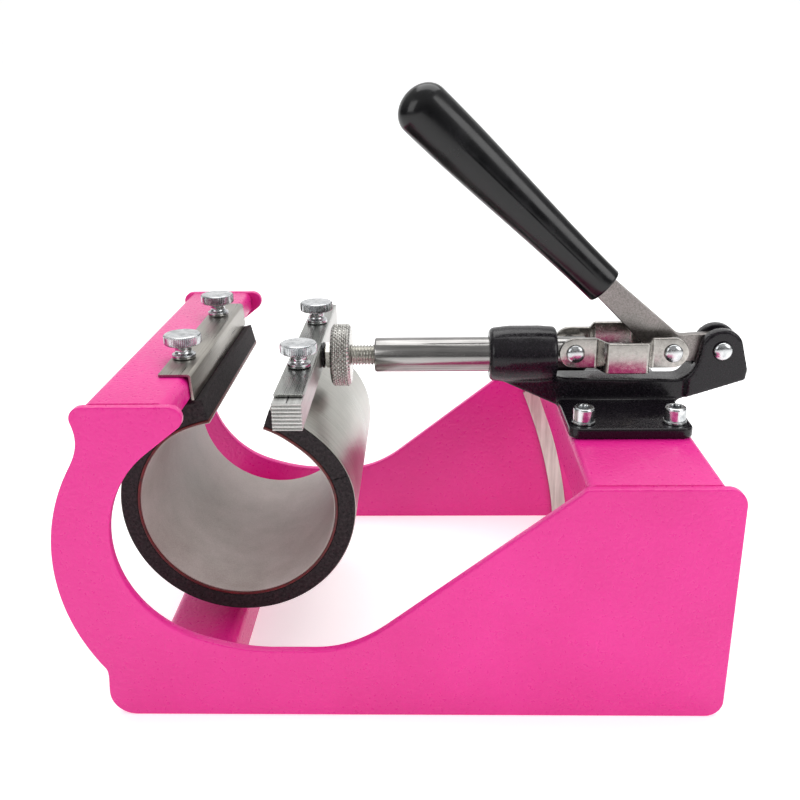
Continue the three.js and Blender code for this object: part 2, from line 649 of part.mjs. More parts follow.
// ---------------------------------------------------------------- linkage
// A joggled link seen from above: flat at both eyes and standing out between them.
function addLinks() {
  const eyes = (distance) => {
    const shape = new THREE.Shape();
    shape.absarc(0, 0, linkHalfHeight, Math.PI / 2, 1.5 * Math.PI);
    shape.absarc(distance, 0, linkHalfHeight, -Math.PI / 2, Math.PI / 2);
    shape.holes.push(circleHole(0, 0, pinDiameter / 2 + runFit));
    shape.holes.push(circleHole(distance, 0, pinDiameter / 2 + runFit));
    return shape;
  };
  const reach = linkHalfHeight + 1;
  const inner = linkInner;
  const outer = linkInner + linkJoggle;
  const shelf = joggleFoot + joggleRamp;
  const plan = bentSheet([[-reach, inner], [joggleFoot, inner], [shelf, outer],
    [linkLength - shelf, outer], [linkLength - joggleFoot, inner],
    [linkLength + reach, inner]], -linkSheet);
  const strip = slabXY(plan, -linkHalfHeight - 1, linkHalfHeight + 1);
  const outline = slabXZ(eyes(linkLength), linkInner - 1, linkInner + linkJoggle + linkSheet + 1);
  const rearSolid = toSolid(strip).intersect(toSolid(outline));
  const rear = toGeometry(rearSolid);
  const front = toGeometry(rearSolid.mirror([0, 1, 0]));
  addPart('front_link', front, stainless(), plungerPinX, 0, pinZ);
  addPart('rear_link', rear, stainless(), plungerPinX, 0, pinZ);
}

// A domed rivet head with its foot at height 0 and its shank below.
function rivetProfile(shankRadius, shankLength) {
  const dome = [0, 1, 2, 3, 4].map((step) => {
    const angle = (step / 4) * (Math.PI / 2);
    return [(rivetHead / 2) * Math.cos(angle), 0.4 + (rivetDome - 0.4) * Math.sin(angle)];
  });
  return [[0, -shankLength], [shankRadius, -shankLength], [shankRadius, 0], [rivetHead / 2, 0],
    ...dome.slice(0, -1), [0, rivetDome]];
}

function rivet(outerFace) {
  const half = rivetProfile(pinDiameter / 2, outerFace + gap);
  const rear = turnedY(half).translate(0, outerFace + gap, 0);
  const front = turnedY(half).rotateX(Math.PI).translate(0, -outerFace - gap, 0);
  return join(rear, front);
}

function addPins() {
  const linkOuter = linkInner + linkSheet;
  addPart('plunger_pin', rivet(linkOuter), chromed(), plungerPinX, 0, pinZ);
  addPart('pivot_pin', rivet(cheekOuter), chromed(), pivotX, 0, pinZ);
  const pinHalf = linkInner - gap;
  addPart('link_pin', turnedY(rod(pinDiameter / 2, -pinHalf, pinHalf)), zincSteel(), linkPinX, 0, pinZ);
  const cap = rivetProfile(pinDiameter / 2, linkSheet + gap);
  const rear = turnedY(cap).translate(0, linkOuter + gap, 0);
  const front = turnedY(cap).rotateX(Math.PI).translate(0, -linkOuter - gap, 0);
  addPart('front_link_rivet', front, chromed(), linkPinX, 0, pinZ);
  addPart('rear_link_rivet', rear, chromed(), linkPinX, 0, pinZ);
}

// ---------------------------------------------------------------- handle
const armAlong = new THREE.Vector2(Math.cos(radians(armAngle)), Math.sin(radians(armAngle)));
const armSide = new THREE.Vector2(armAlong.y, -armAlong.x);
const gripFoot = new THREE.Vector2(-gripReach * 0.883, gripReach * 0.469);

function leverShape() {
  const from = (point, along, side) =>
    point.clone().addScaledVector(armAlong, along).addScaledVector(armSide, side);
  const half = armWidth / 2;
  const hub = 7;
  const shape = new THREE.Shape();
  shape.moveTo(-crankLength, -hub);
  shape.absarc(0, 0, hub, -Math.PI / 2, Math.PI / 2);
  shape.lineTo(-crankLength + 8.5, hub - 0.8);
  shape.quadraticCurveTo(-crankLength + 5.5, hub - 1.2, -crankLength + 3.6, hub - 0.2);
  for (const corner of [from(gripFoot, 0, half), from(gripFoot, 3, half - 1.2),
    from(gripFoot, armInGrip, half - 1.2), from(gripFoot, armInGrip, 1.2 - half),
    from(gripFoot, 3, 1.2 - half), from(gripFoot, 0, -half)]) {
    shape.lineTo(corner.x, corner.y);
  }
  shape.lineTo(-crankLength - 8.6, -1.8);
  shape.quadraticCurveTo(-crankLength - 5, -hub, -crankLength, -hub);
  shape.holes.push(circleHole(0, 0, pinDiameter / 2 + runFit));
  shape.holes.push(circleHole(-crankLength, 0, pinDiameter / 2 + runFit));
  return shape;
}

function addHandle() {
  const half = leverThickness / 2;
  addPart('handle_lever', slabXZ(leverShape(), -half, half), stainless(), pivotX, 0, pinZ);
  const low = gripLowWidth / 2;
  const high = gripHighWidth / 2;
  const cap = gripLength - high * 0.82;
  const profile = [[0, 0], [low - 0.8, 0], [low, 1.2]];
  for (let step = 1; step <= 8; step += 1) {
    const at = step / 8;
    const swell = at * at * (3 - 2 * at);
    profile.push([low + (high - low) * swell, 1.2 + (cap - 1.2) * at]);
  }
  for (let step = 1; step < 7; step += 1) {
    const angle = (step / 7) * (Math.PI / 2);
    profile.push([high * Math.cos(angle), cap + (gripLength - cap) * Math.sin(angle)]);
  }
  profile.push([0, gripLength]);
  const skin = turnedY(profile, 24).scale(1, 1, gripFlatness);
  const pocketHalf = armWidth / 2 - 1.2 + gap;
  const pocket = box(-pocketHalf, pocketHalf, 3, armInGrip + gap, -half - gap, half + gap);
  const mouth = box(-armWidth / 2 - gap, armWidth / 2 + gap, -1, 3 + 2 * gap, -half - gap, half + gap);
  const grip = cut(skin, pocket, mouth).rotateX(Math.PI / 2).rotateY(-radians(armAngle - 90));
  addPart('handle_grip', grip, blackVinyl(), pivotX + gripFoot.x, 0, pinZ + gripFoot.y);
}

// ---------------------------------------------------------------- assembly
addSidePlates();
addTopCrossbar();
addLowerCrossbar();
addPlatform();
addGuardStrip();
addBracket();
addHeater();
addJaw();
addSpindle();
addPlunger();
addClampBody();
addFlangeBolts();
addLinks();
addPins();
addHandle();

const whole = new THREE.Box3().setFromObject(press, true);
press.position.set(-(whole.min.x + whole.max.x) / 2, 0, 0);
press.updateMatrixWorld(true);

export default press;
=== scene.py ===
"""Mug heat press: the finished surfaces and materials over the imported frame.

Lengths in the classes below are millimetres in the frame's own axes: +X from the heater to
the clamp, +Y away from the user, +Z up. Meshes are written in metres.
"""

import enum
import logging
import math
from dataclasses import dataclass, field

import bmesh
import bpy
import numpy as np
from mathutils import Matrix, Vector


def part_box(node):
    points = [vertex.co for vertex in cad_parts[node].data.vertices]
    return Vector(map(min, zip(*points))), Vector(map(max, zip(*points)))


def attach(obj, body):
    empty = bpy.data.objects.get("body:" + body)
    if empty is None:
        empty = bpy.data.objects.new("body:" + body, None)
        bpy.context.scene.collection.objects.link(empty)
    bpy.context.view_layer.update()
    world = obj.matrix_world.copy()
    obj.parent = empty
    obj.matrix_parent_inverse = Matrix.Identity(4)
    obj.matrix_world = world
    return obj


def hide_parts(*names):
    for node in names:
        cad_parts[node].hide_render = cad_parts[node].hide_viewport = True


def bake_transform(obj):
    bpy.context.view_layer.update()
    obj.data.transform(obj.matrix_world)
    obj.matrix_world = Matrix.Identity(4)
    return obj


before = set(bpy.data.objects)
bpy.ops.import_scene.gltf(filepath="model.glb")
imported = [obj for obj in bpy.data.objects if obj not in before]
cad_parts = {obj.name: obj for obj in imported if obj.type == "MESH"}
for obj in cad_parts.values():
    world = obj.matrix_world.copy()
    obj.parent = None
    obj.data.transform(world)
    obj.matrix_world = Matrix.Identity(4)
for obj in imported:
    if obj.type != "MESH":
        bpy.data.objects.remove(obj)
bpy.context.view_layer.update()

MM = 0.001
TAU = 2 * math.pi
Points = np.ndarray
Pair = tuple[float, float]
Triple = tuple[float, float, float]
Socket = bpy.types.NodeSocket
Material = bpy.types.Material
LOG = logging.getLogger("mug_press")


class Plane(enum.Enum):
    """The plane that an outline is drawn in; the slab is pushed along the third axis."""

    XZ = (0, 2, 1)
    XY = (0, 1, 2)
    YZ = (1, 2, 0)


class Axis(enum.Enum):
    """The axis that a turned piece is turned about, with its two cross directions."""

    X = (1, 2, 0)
    Y = (2, 0, 1)
    Z = (0, 1, 2)


class Slot(enum.Enum):
    """The record's material slots."""

    PINK_PAINT = "pink_paint"
    STAINLESS = "stainless"
    CHROME = "chrome"
    ZINC_STEEL = "zinc_steel"
    BLACK_ENAMEL = "black_enamel"
    BLACK_VINYL = "black_vinyl"
    GREY_MAT = "grey_mat"
    RED_SILICONE = "red_silicone"
    CHARCOAL_FOAM = "charcoal_foam"
    ALUMINIUM = "aluminium"


# ------------------------------------------------------------------ outlines


def arc(x: float, z: float, radius: float, start: float, end: float, steps: int = 24) -> Points:
    """A circular arc: the centre plus the radius times the cosine and sine of the angle.

    Args:
        x: Centre, first coordinate.
        z: Centre, second coordinate.
        radius: Radius.
        start: First angle in degrees.
        end: Last angle in degrees.
        steps: Number of chords.

    Returns:
        The arc's points, one row each.
    """
    angle = np.radians(np.linspace(start, end, steps + 1))
    return np.column_stack([x + radius * np.cos(angle), z + radius * np.sin(angle)])


def bezier(*pulls: Pair, steps: int = 14) -> Points:
    """A Bezier curve: each pull weighted by its Bernstein polynomial of the curve's parameter.

    Args:
        *pulls: Two ends with one or two pulls between them.
        steps: Number of chords.

    Returns:
        The curve's points, one row each.
    """
    along = np.linspace(0.0, 1.0, steps + 1)[:, None]
    degree = len(pulls) - 1
    weights = [
        math.comb(degree, k) * along**k * (1 - along) ** (degree - k) for k in range(degree + 1)
    ]
    return sum(weight * np.array(pull) for weight, pull in zip(weights, pulls))


def outline(*parts: Points) -> Points:
    """One closed outline from its stretches, with repeated points left out.

    Args:
        *parts: Arrays of points in order round the outline.

    Returns:
        The outline, anticlockwise, with no point twice in a row.
    """
    points = np.vstack([np.atleast_2d(np.asarray(part, dtype=float)) for part in parts])
    step = np.linalg.norm(points - np.roll(points, 1, axis=0), axis=1)
    points = points[step > 1e-4]
    nxt = np.roll(points, -1, axis=0)
    area = np.sum(points[:, 0] * nxt[:, 1] - nxt[:, 0] * points[:, 1])
    return points if area > 0 else points[::-1]


def inset(points: Points, by: float) -> Points:
    """An anticlockwise outline moved inwards: each point goes against its mitred outward normal.

    Args:
        points: The outline.
        by: Distance.

    Returns:
        The moved outline, point for point.
    """
    before = points - np.roll(points, 1, axis=0)
    after = np.roll(points, -1, axis=0) - points
    before /= np.linalg.norm(before, axis=1, keepdims=True)
    after /= np.linalg.norm(after, axis=1, keepdims=True)
    mean = before + after
    mean /= np.maximum(np.linalg.norm(mean, axis=1, keepdims=True), 1e-9)
    square = np.maximum(np.sum(mean * after, axis=1, keepdims=True), 0.5)
    outward = np.column_stack([mean[:, 1], -mean[:, 0]])
    return points - outward * by / square


def rounded_rectangle(
    x0: float, x1: float, z0: float, z1: float, radius: float, steps: int = 6
) -> Points:
    """A rectangle with four quarter-circle corners.

    Args:
        x0: Left side.
        x1: Right side.
        z0: Lower side.
        z1: Upper side.
        radius: Corner radius.
        steps: Chords in each corner.

    Returns:
        The outline.
    """
    return outline(
        arc(x1 - radius, z0 + radius, radius, -90, 0, steps),
        arc(x1 - radius, z1 - radius, radius, 0, 90, steps),
        arc(x0 + radius, z1 - radius, radius, 90, 180, steps),
        arc(x0 + radius, z0 + radius, radius, 180, 270, steps),
    )


def channel(
    left: float, right: float, top: float, drops: Pair, sheet: float, bend: float
) -> Points:
    """The section of a folded channel: the outer line with two round bends, and the same line
    moved in by the sheet.

    Args:
        left: Outer face of the left flange.
        right: Outer face of the right flange.
        top: Upper face.
        drops: How far the left and the right flange hang below the top.
        sheet: Sheet thickness.
        bend: Outer radius of the bends.

    Returns:
        The section's outline.
    """

    def run(edge: float) -> Points:
        """The folded line at a distance in from the outer face.

        Args:
            edge: Distance in from the outer face.

        Returns:
            The line, from the left flange's foot to the right one's.
        """
        radius = bend - edge
        return np.vstack([
            [left + edge, top - drops[0]],
            arc(left + bend, top - bend, radius, 180, 90, 10),
            arc(right - bend, top - bend, radius, 90, 0, 10),
            [right - edge, top - drops[1]],
        ])

    return outline(run(0.0), run(sheet)[::-1])


def thicken(path: Points, sheet: float) -> Points:
    """A sheet's section: a path and the same path moved to its right by the sheet's thickness.

    Args:
        path: The sheet's line.
        sheet: Its thickness.

    Returns:
        The section's outline.
    """
    along = np.gradient(path, axis=0)
    along /= np.linalg.norm(along, axis=1, keepdims=True)
    right = np.column_stack([along[:, 1], -along[:, 0]])
    return outline(path, (path + right * sheet)[::-1])


# ------------------------------------------------------------------ surfaces


@dataclass
class Surface:
    """A mesh as arrays: points in millimetres and faces as lists of point numbers."""

    points: Points
    faces: list[list[int]]


def loft(rows: Points, capped: bool = True) -> Surface:
    """A tube through closed rings of equal length: quads between neighbours, a face on each end.

    Args:
        rows: Points as (ring, place on the ring, xyz).
        capped: Whether the first and last ring are closed by a face.

    Returns:
        The surface.
    """
    count, around = rows.shape[:2]
    first = np.arange(count - 1)[:, None] * around + np.arange(around)
    nxt = np.arange(count - 1)[:, None] * around + (np.arange(around) + 1) % around
    faces = np.stack([first, nxt, nxt + around, first + around], axis=-1).reshape(-1, 4).tolist()
    if capped:
        faces.append(list(range(around))[::-1])
        faces.append(list(range((count - 1) * around, count * around)))
    return Surface(rows.reshape(-1, 3), faces)


def slab(
    shape: Points, low: float, high: float, edge: float, plane: Plane = Plane.XZ, steps: int = 3
) -> Surface:
    """A flat piece with rounded edges: rings of the outline, each inset by the edge radius times
    one minus the sine and set back from the face by one minus the cosine of a quarter turn.

    Args:
        shape: Outline in the plane.
        low: Lower face along the third axis.
        high: Upper face along the third axis.
        edge: Edge radius.
        plane: The outline's plane.
        steps: Chords in each rounded edge.

    Returns:
        The surface.
    """
    turn = np.linspace(0, math.pi / 2, steps + 1)
    depth = edge * (1 - np.sin(turn))
    back = edge * (1 - np.cos(turn))
    first, second, third = plane.value
    levels = np.concatenate([low + back, (high - back)[::-1]])
    insets = np.concatenate([depth, depth[::-1]])
    rows = np.empty((len(levels), len(shape), 3))
    for row, (level, by) in enumerate(zip(levels, insets)):
        moved = inset(shape, by)
        rows[row, :, first] = moved[:, 0]
        rows[row, :, second] = moved[:, 1]
        rows[row, :, third] = level
    return loft(rows)


def turned(profile: Points, centre: Triple, axis: Axis, segments: int = 64) -> Surface:
    """A turned piece: each profile point (radius, height) swept round the axis.

    Args:
        profile: Radius and height, one row each, from end to end.
        centre: Where the heights start from.
        axis: The axis turned about.
        segments: Steps round.

    Returns:
        The surface.
    """
    angle = np.arange(segments) / segments * TAU
    radius = np.repeat(profile[:, :1], segments, axis=1)
    return wrapped(radius, profile[:, 1], angle, centre, axis)


def wrapped(
    radius: Points, height: Points, angle: Points, centre: Triple, axis: Axis
) -> Surface:
    """A closed surface round an axis, with the radius given as a grid over height and angle.

    Args:
        radius: Radius at (height, angle).
        height: Height of each row above the centre.
        angle: Angle of each column in radians.
        centre: Where the heights start from.
        axis: The axis turned about.

    Returns:
        The surface.
    """
    first, second, third = axis.value
    rows = np.empty(radius.shape + (3,))
    rows[..., first] = centre[first] + radius * np.cos(angle)
    rows[..., second] = centre[second] + radius * np.sin(angle)
    rows[..., third] = centre[third] + height[:, None]
    return loft(rows)


def profile(*parts: Points) -> Points:
    """A turned profile from its stretches, as radius and height rows."""
    return np.vstack([np.atleast_2d(np.asarray(part, dtype=float)) for part in parts])


def triangle_wave(phase: Points) -> Points:
    """A wave from 0 to 1 and back over each whole unit of phase, with straight flanks."""
    return 1 - np.abs(2 * (phase - np.floor(phase)) - 1)


def smooth_step(at: Points) -> Points:
    """The cubic 3t^2 - 2t^3 of a value held between 0 and 1."""
    held = np.clip(at, 0, 1)
    return held * held * (3 - 2 * held)


def hexagon_factor(angle: Points) -> Points:
    """The radius of a hexagon over its inscribed circle's, at each angle."""
    within = np.mod(angle + math.pi / 6, math.pi / 3) - math.pi / 6
    return 1 / np.cos(within)


def blank_mesh(name: str, surface: Surface) -> bpy.types.Mesh:
    """A mesh data block of a surface, in metres.

    Args:
        name: The mesh's name.
        surface: The surface in millimetres.

    Returns:
        The mesh.
    """
    mesh = bpy.data.meshes.new(name)
    mesh.from_pydata((surface.points * MM).tolist(), [], surface.faces)
    return mesh


def tidy_mesh(mesh: bpy.types.Mesh, sharp: float) -> None:
    """Welds poles, turns every face outwards, smooths, and keeps sharp edges and end faces crisp.

    Args:
        mesh: The mesh to finish.
        sharp: Edges that turn by more than this many degrees stay crisp.
    """
    bm = bmesh.new()
    bm.from_mesh(mesh)
    bmesh.ops.remove_doubles(bm, verts=bm.verts, dist=2e-7)
    bmesh.ops.dissolve_degenerate(bm, edges=bm.edges, dist=1e-8)
    bmesh.ops.recalc_face_normals(bm, faces=bm.faces)
    bm.to_mesh(mesh)
    bm.free()
    mesh.shade_smooth()
    mesh.set_sharp_from_angle(angle=math.radians(sharp))
    totals = np.empty(len(mesh.polygons), dtype=np.int32)
    mesh.polygons.foreach_get("loop_total", totals)
    edges = np.empty(len(mesh.loops), dtype=np.int32)
    mesh.loops.foreach_get("edge_index", edges)
    marks = mesh.attributes.get("sharp_edge") or mesh.attributes.new("sharp_edge", "BOOLEAN", "EDGE")
    crisp = np.empty(len(mesh.edges), dtype=bool)
    marks.data.foreach_get("value", crisp)
    crisp[edges[np.repeat(totals > 4, totals)]] = True
    marks.data.foreach_set("value", crisp)


# ------------------------------------------------------------------ finishes


class Graph:
    """A material's node graph, with short calls for the nodes that the finishes share."""

    def __init__(self, name: str) -> None:
        """Starts a material with its surface shader and Object coordinates."""
        self.material = bpy.data.materials.new(name)
        self.material.use_nodes = True
        self.tree = self.material.node_tree
        self.shader = self.tree.nodes["Principled BSDF"]
        self.place = self.add("ShaderNodeTexCoord").outputs["Object"]

    def add(self, kind: str, **settings: object) -> bpy.types.Node:
        """Adds a node and sets its properties.

        Args:
            kind: The node's type.
            **settings: Properties to set on it.

        Returns:
            The node.
        """
        node = self.tree.nodes.new(kind)
        for key, value in settings.items():
            setattr(node, key, value)
        return node

    def link(self, source: Socket, target: Socket) -> None:
        """Joins two sockets."""
        self.tree.links.new(source, target)

    def set(self, **values: object) -> None:
        """Sets the shader's own sockets; an underscore in a key stands for a space."""
        for key, value in values.items():
            self.shader.inputs[key.replace("_", " ")].default_value = value

    def stretched(self, scale: Triple, turn: float = 0.0) -> Socket:
        """Object coordinates scaled on each axis, after a turn about Y.

        Args:
            scale: Scale on each axis.
            turn: Turn in degrees.

        Returns:
            The coordinates.
        """
        mapping = self.add("ShaderNodeMapping")
        mapping.inputs["Scale"].default_value = scale
        mapping.inputs["Rotation"].default_value = (0, math.radians(turn), 0)
        self.link(self.place, mapping.inputs["Vector"])
        return mapping.outputs["Vector"]

    def noise(
        self, vector: Socket, scale: float, detail: float = 3.0, rough: float = 0.5
    ) -> Socket:
        """Fractal noise, as a value round one half.

        Args:
            vector: Coordinates.
            scale: Lumps in a metre, roughly.
            detail: Octaves.
            rough: How strong each finer octave is.

        Returns:
            The value.
        """
        node = self.add("ShaderNodeTexNoise")
        node.inputs["Scale"].default_value = scale
        node.inputs["Detail"].default_value = detail
        node.inputs["Roughness"].default_value = rough
        self.link(vector, node.inputs["Vector"])
        return node.outputs["Fac"]

    def ramp(self, value: Socket, low: Pair, high: Pair) -> Socket:
        """Maps a value from one range onto another, clamped.

        Args:
            value: The value.
            low: The range that it comes from.
            high: The range that it goes to.

        Returns:
            The mapped value.
        """
        node = self.add("ShaderNodeMapRange")
        node.inputs["From Min"].default_value, node.inputs["From Max"].default_value = low
        node.inputs["To Min"].default_value, node.inputs["To Max"].default_value = high
        self.link(value, node.inputs["Value"])
        return node.outputs["Result"]

    def blend(self, value: Socket, dark: tuple[float, ...], pale: tuple[float, ...]) -> Socket:
        """A colour between two.

        Args:
            value: From 0, the dark colour, to 1, the pale one.
            dark: Red, green and blue of the dark colour.
            pale: Red, green and blue of the pale colour.

        Returns:
            The colour.
        """
        node = self.add("ShaderNodeMix", data_type="RGBA")
        node.inputs[6].default_value = (*dark, 1)
        node.inputs[7].default_value = (*pale, 1)
        self.link(value, node.inputs[0])
        return node.outputs[2]

    def math(self, operation: str, first: object, second: object) -> Socket:
        """A Math node.

        Args:
            operation: The node's operation.
            first: A socket or a number.
            second: A socket or a number.

        Returns:
            The result.
        """
        node = self.add("ShaderNodeMath", operation=operation)
        for socket, value in zip(node.inputs, (first, second)):
            if isinstance(value, (int, float)):
                socket.default_value = value
            else:
                self.link(value, socket)
        return node.outputs[0]

    def bump(
        self, height: Socket, strength: float, depth: float, under: Socket | None = None
    ) -> Socket:
        """A bump, over another one if that is given.

        Args:
            height: Height from 0 to 1.
            strength: How strong the bump is.
            depth: Its depth in millimetres.
            under: The bump beneath it.

        Returns:
            The normal.
        """
        node = self.add("ShaderNodeBump")
        node.inputs["Strength"].default_value = strength
        node.inputs["Distance"].default_value = depth * MM
        self.link(height, node.inputs["Height"])
        if under is not None:
            self.link(under, node.inputs["Normal"])
        return node.outputs["Normal"]

    def finish(self, colour: Socket, roughness: Socket, normal: Socket) -> Material:
        """Joins colour, roughness and normal to the shader.

        Args:
            colour: Base colour.
            roughness: Roughness.
            normal: Normal.

        Returns:
            The material.
        """
        self.link(colour, self.shader.inputs["Base Color"])
        self.link(roughness, self.shader.inputs["Roughness"])
        self.link(normal, self.shader.inputs["Normal"])
        return self.material


@dataclass(frozen=True)
class PowderCoat:
    """Orange-peel powder coat: soft lumps about a millimetre and a half across."""

    name: str = "pink_powder_coat"
    dark: Triple = (0.70, 0.010, 0.235)
    pale: Triple = (0.80, 0.017, 0.29)
    lump: float = 560.0
    depth: float = 0.42

    def material(self) -> Material:
        """Two noises of bump, slow colour drift and slightly uneven gloss.

        Returns:
            The material.
        """
        graph = Graph(self.name)
        graph.set(Specular_IOR_Level=0.4, Coat_Weight=0.16, Coat_Roughness=0.16)
        lumps = graph.noise(graph.place, self.lump, 2.0, 0.45)
        fine = graph.noise(graph.place, self.lump * 4.5, 1.0)
        drift = graph.noise(graph.place, 14.0, 3.0)
        colour = graph.blend(graph.ramp(drift, (0.3, 0.7), (0, 1)), self.dark, self.pale)
        rough = graph.ramp(lumps, (0.3, 0.7), (0.26, 0.42))
        normal = graph.bump(lumps, 0.8, self.depth, graph.bump(fine, 0.3, 0.03))
        return graph.finish(colour, rough, normal)


@dataclass(frozen=True)
class BrushedMetal:
    """Metal with streaks along one direction, some long scratches and cloudy patches."""

    name: str
    dark: Triple
    pale: Triple
    streak: Triple = (60.0, 60.0, 2600.0)
    rough: Pair = (0.24, 0.42)
    depth: float = 0.012
    cloud: float = 45.0
    turn: float = 0.0

    def material(self) -> Material:
        """Streak noise drives colour, gloss and a shallow bump; a slow noise clouds them.

        Returns:
            The material.
        """
        graph = Graph(self.name)
        graph.set(Metallic=1.0)
        streaks = graph.noise(graph.stretched(self.streak, self.turn), 1.0, 4.0, 0.62)
        cloud = graph.noise(graph.place, self.cloud, 3.0)
        both = graph.math(
            "ADD", graph.math("MULTIPLY", streaks, 0.65), graph.math("MULTIPLY", cloud, 0.35)
        )
        colour = graph.blend(graph.ramp(both, (0.36, 0.64), (0, 1)), self.dark, self.pale)
        rough = graph.ramp(both, (0.35, 0.65), self.rough)
        return graph.finish(colour, rough, graph.bump(streaks, 0.35, self.depth))


@dataclass(frozen=True)
class BrightPlate:
    """Bright plating with faint smudges and a fine grain."""

    name: str = "bright_plate"
    dark: Triple = (0.36, 0.375, 0.385)
    pale: Triple = (0.66, 0.67, 0.68)
    rough: Pair = (0.12, 0.28)
    grain: float = 0.02

    def material(self) -> Material:
        """Smudges change gloss and tone; the grain is a shallow bump.

        Returns:
            The material.
        """
        graph = Graph(self.name)
        graph.set(Metallic=1.0)
        smudge = graph.noise(graph.place, 260.0, 4.0, 0.6)
        grain = graph.noise(graph.place, 2600.0, 2.0)
        colour = graph.blend(graph.ramp(smudge, (0.35, 0.6), (0, 1)), self.dark, self.pale)
        rough = graph.ramp(smudge, (0.35, 0.65), self.rough)
        return graph.finish(colour, rough, graph.bump(grain, 0.3, self.grain))


@dataclass(frozen=True)
class CastEnamel:
    """Black gloss enamel over a sand-cast skin."""

    name: str = "black_cast_enamel"
    dark: Triple = (0.003, 0.0025, 0.004)
    pale: Triple = (0.010, 0.007, 0.011)

    def material(self) -> Material:
        """Broad waves, small lumps and sparse pits under the gloss.

        Returns:
            The material.
        """
        graph = Graph(self.name)
        graph.set(Specular_IOR_Level=0.28, Coat_Weight=0.14, Coat_Roughness=0.1)
        waves = graph.noise(graph.place, 150.0, 2.0)
        lumps = graph.noise(graph.place, 900.0, 3.0, 0.6)
        pits = graph.ramp(graph.noise(graph.place, 1300.0, 1.0), (0.66, 0.74), (0, 1))
        colour = graph.blend(graph.ramp(lumps, (0.3, 0.7), (0, 1)), self.dark, self.pale)
        rough = graph.ramp(lumps, (0.3, 0.7), (0.16, 0.34))
        normal = graph.bump(waves, 0.4, 0.35)
        normal = graph.bump(lumps, 0.5, 0.09, normal)
        return graph.finish(colour, rough, graph.bump(pits, 0.5, 0.08, normal))


@dataclass(frozen=True)
class DippedVinyl:
    """Glossy dipped vinyl with slow sags and faint handling marks."""

    name: str = "black_dipped_vinyl"
    dark: Triple = (0.002, 0.002, 0.0025)
    pale: Triple = (0.006, 0.006, 0.007)

    def material(self) -> Material:
        """A slow bump for sags and a fine one for the skin, with cloudy gloss.

        Returns:
            The material.
        """
        graph = Graph(self.name)
        graph.set(Specular_IOR_Level=0.36, Coat_Weight=0.12, Coat_Roughness=0.07)
        sag = graph.noise(graph.stretched((22.0, 60.0, 22.0)), 1.0, 2.0)
        skin = graph.noise(graph.place, 700.0, 3.0)
        marks = graph.noise(graph.place, 90.0, 5.0, 0.65)
        colour = graph.blend(graph.ramp(marks, (0.4, 0.7), (0, 1)), self.dark, self.pale)
        rough = graph.ramp(marks, (0.35, 0.7), (0.17, 0.3))
        return graph.finish(colour, rough, graph.bump(skin, 0.18, 0.02, graph.bump(sag, 0.3, 0.4)))


@dataclass(frozen=True)
class SpongeRubber:
    """Charcoal silicone sponge: a mottled skin with open pores of several sizes, blackened by painted shade
    in their hollows.
    """

    name: str = "charcoal_sponge"
    dark: Triple = (0.008, 0.006, 0.007)
    pale: Triple = (0.040, 0.033, 0.035)

    def material(self) -> Material:
        """Pores are the cores of Voronoi cells where a noise is high; they sink, and are darkened as painted
        shade.

        Returns:
            The material.
        """
        graph = Graph(self.name)
        graph.set(Specular_IOR_Level=0.3)
        cells = graph.add("ShaderNodeTexVoronoi")
        cells.inputs["Scale"].default_value = 700.0
        graph.link(graph.place, cells.inputs["Vector"])
        cores = graph.ramp(cells.outputs["Distance"], (0.16, 0.34), (1, 0))
        some = graph.ramp(graph.noise(graph.place, 430.0, 2.0), (0.46, 0.54), (0, 1))
        pores = graph.math("MULTIPLY", cores, some)
        mottle = graph.noise(graph.place, 700.0, 4.0, 0.7)
        # painted shade: the pore mask is taken off the skin's tone, so the hollows are coloured dark as shade
        # inside them would make them
        tone = graph.math("SUBTRACT", graph.ramp(mottle, (0.38, 0.66), (0, 1)), pores)
        colour = graph.blend(graph.ramp(tone, (0, 1), (0, 1)), self.dark, self.pale)
        rough = graph.ramp(mottle, (0.3, 0.7), (0.72, 0.95))
        sunk = graph.math("SUBTRACT", mottle, pores)
        return graph.finish(colour, rough, graph.bump(sunk, 0.6, 0.16))


@dataclass(frozen=True)
class SatinMat:
    """The pale grey heat mat: satin, finely woven under a thin coat, unevenly warmed in tone."""

    name: str = "pale_heat_mat"
    dark: Triple = (0.30, 0.26, 0.235)
    pale: Triple = (0.50, 0.45, 0.43)

    def material(self) -> Material:
        """Two crossed waves make the weave; noises stain the coat and vary its gloss.

        Returns:
            The material.
        """
        graph = Graph(self.name)
        graph.set(Specular_IOR_Level=0.45, Sheen_Weight=0.15)
        weave = []
        for direction in ("Y", "Z"):
            wave = graph.add("ShaderNodeTexWave", bands_direction=direction)
            wave.inputs["Scale"].default_value = 520.0
            wave.inputs["Distortion"].default_value = 1.5
            graph.link(graph.place, wave.inputs["Vector"])
            weave.append(wave.outputs["Fac"])
        threads = graph.math("MULTIPLY", *weave)
        grain = graph.noise(graph.place, 1500.0, 2.0)
        stain = graph.noise(graph.place, 30.0, 4.0, 0.6)
        tone = graph.math(
            "ADD", graph.math("MULTIPLY", stain, 0.7), graph.math("MULTIPLY", grain, 0.3)
        )
        colour = graph.blend(graph.ramp(tone, (0.34, 0.66), (0, 1)), self.dark, self.pale)
        rough = graph.ramp(stain, (0.3, 0.7), (0.42, 0.6))
        normal = graph.bump(threads, 0.15, 0.02, graph.bump(grain, 0.2, 0.02))
        return graph.finish(colour, rough, normal)


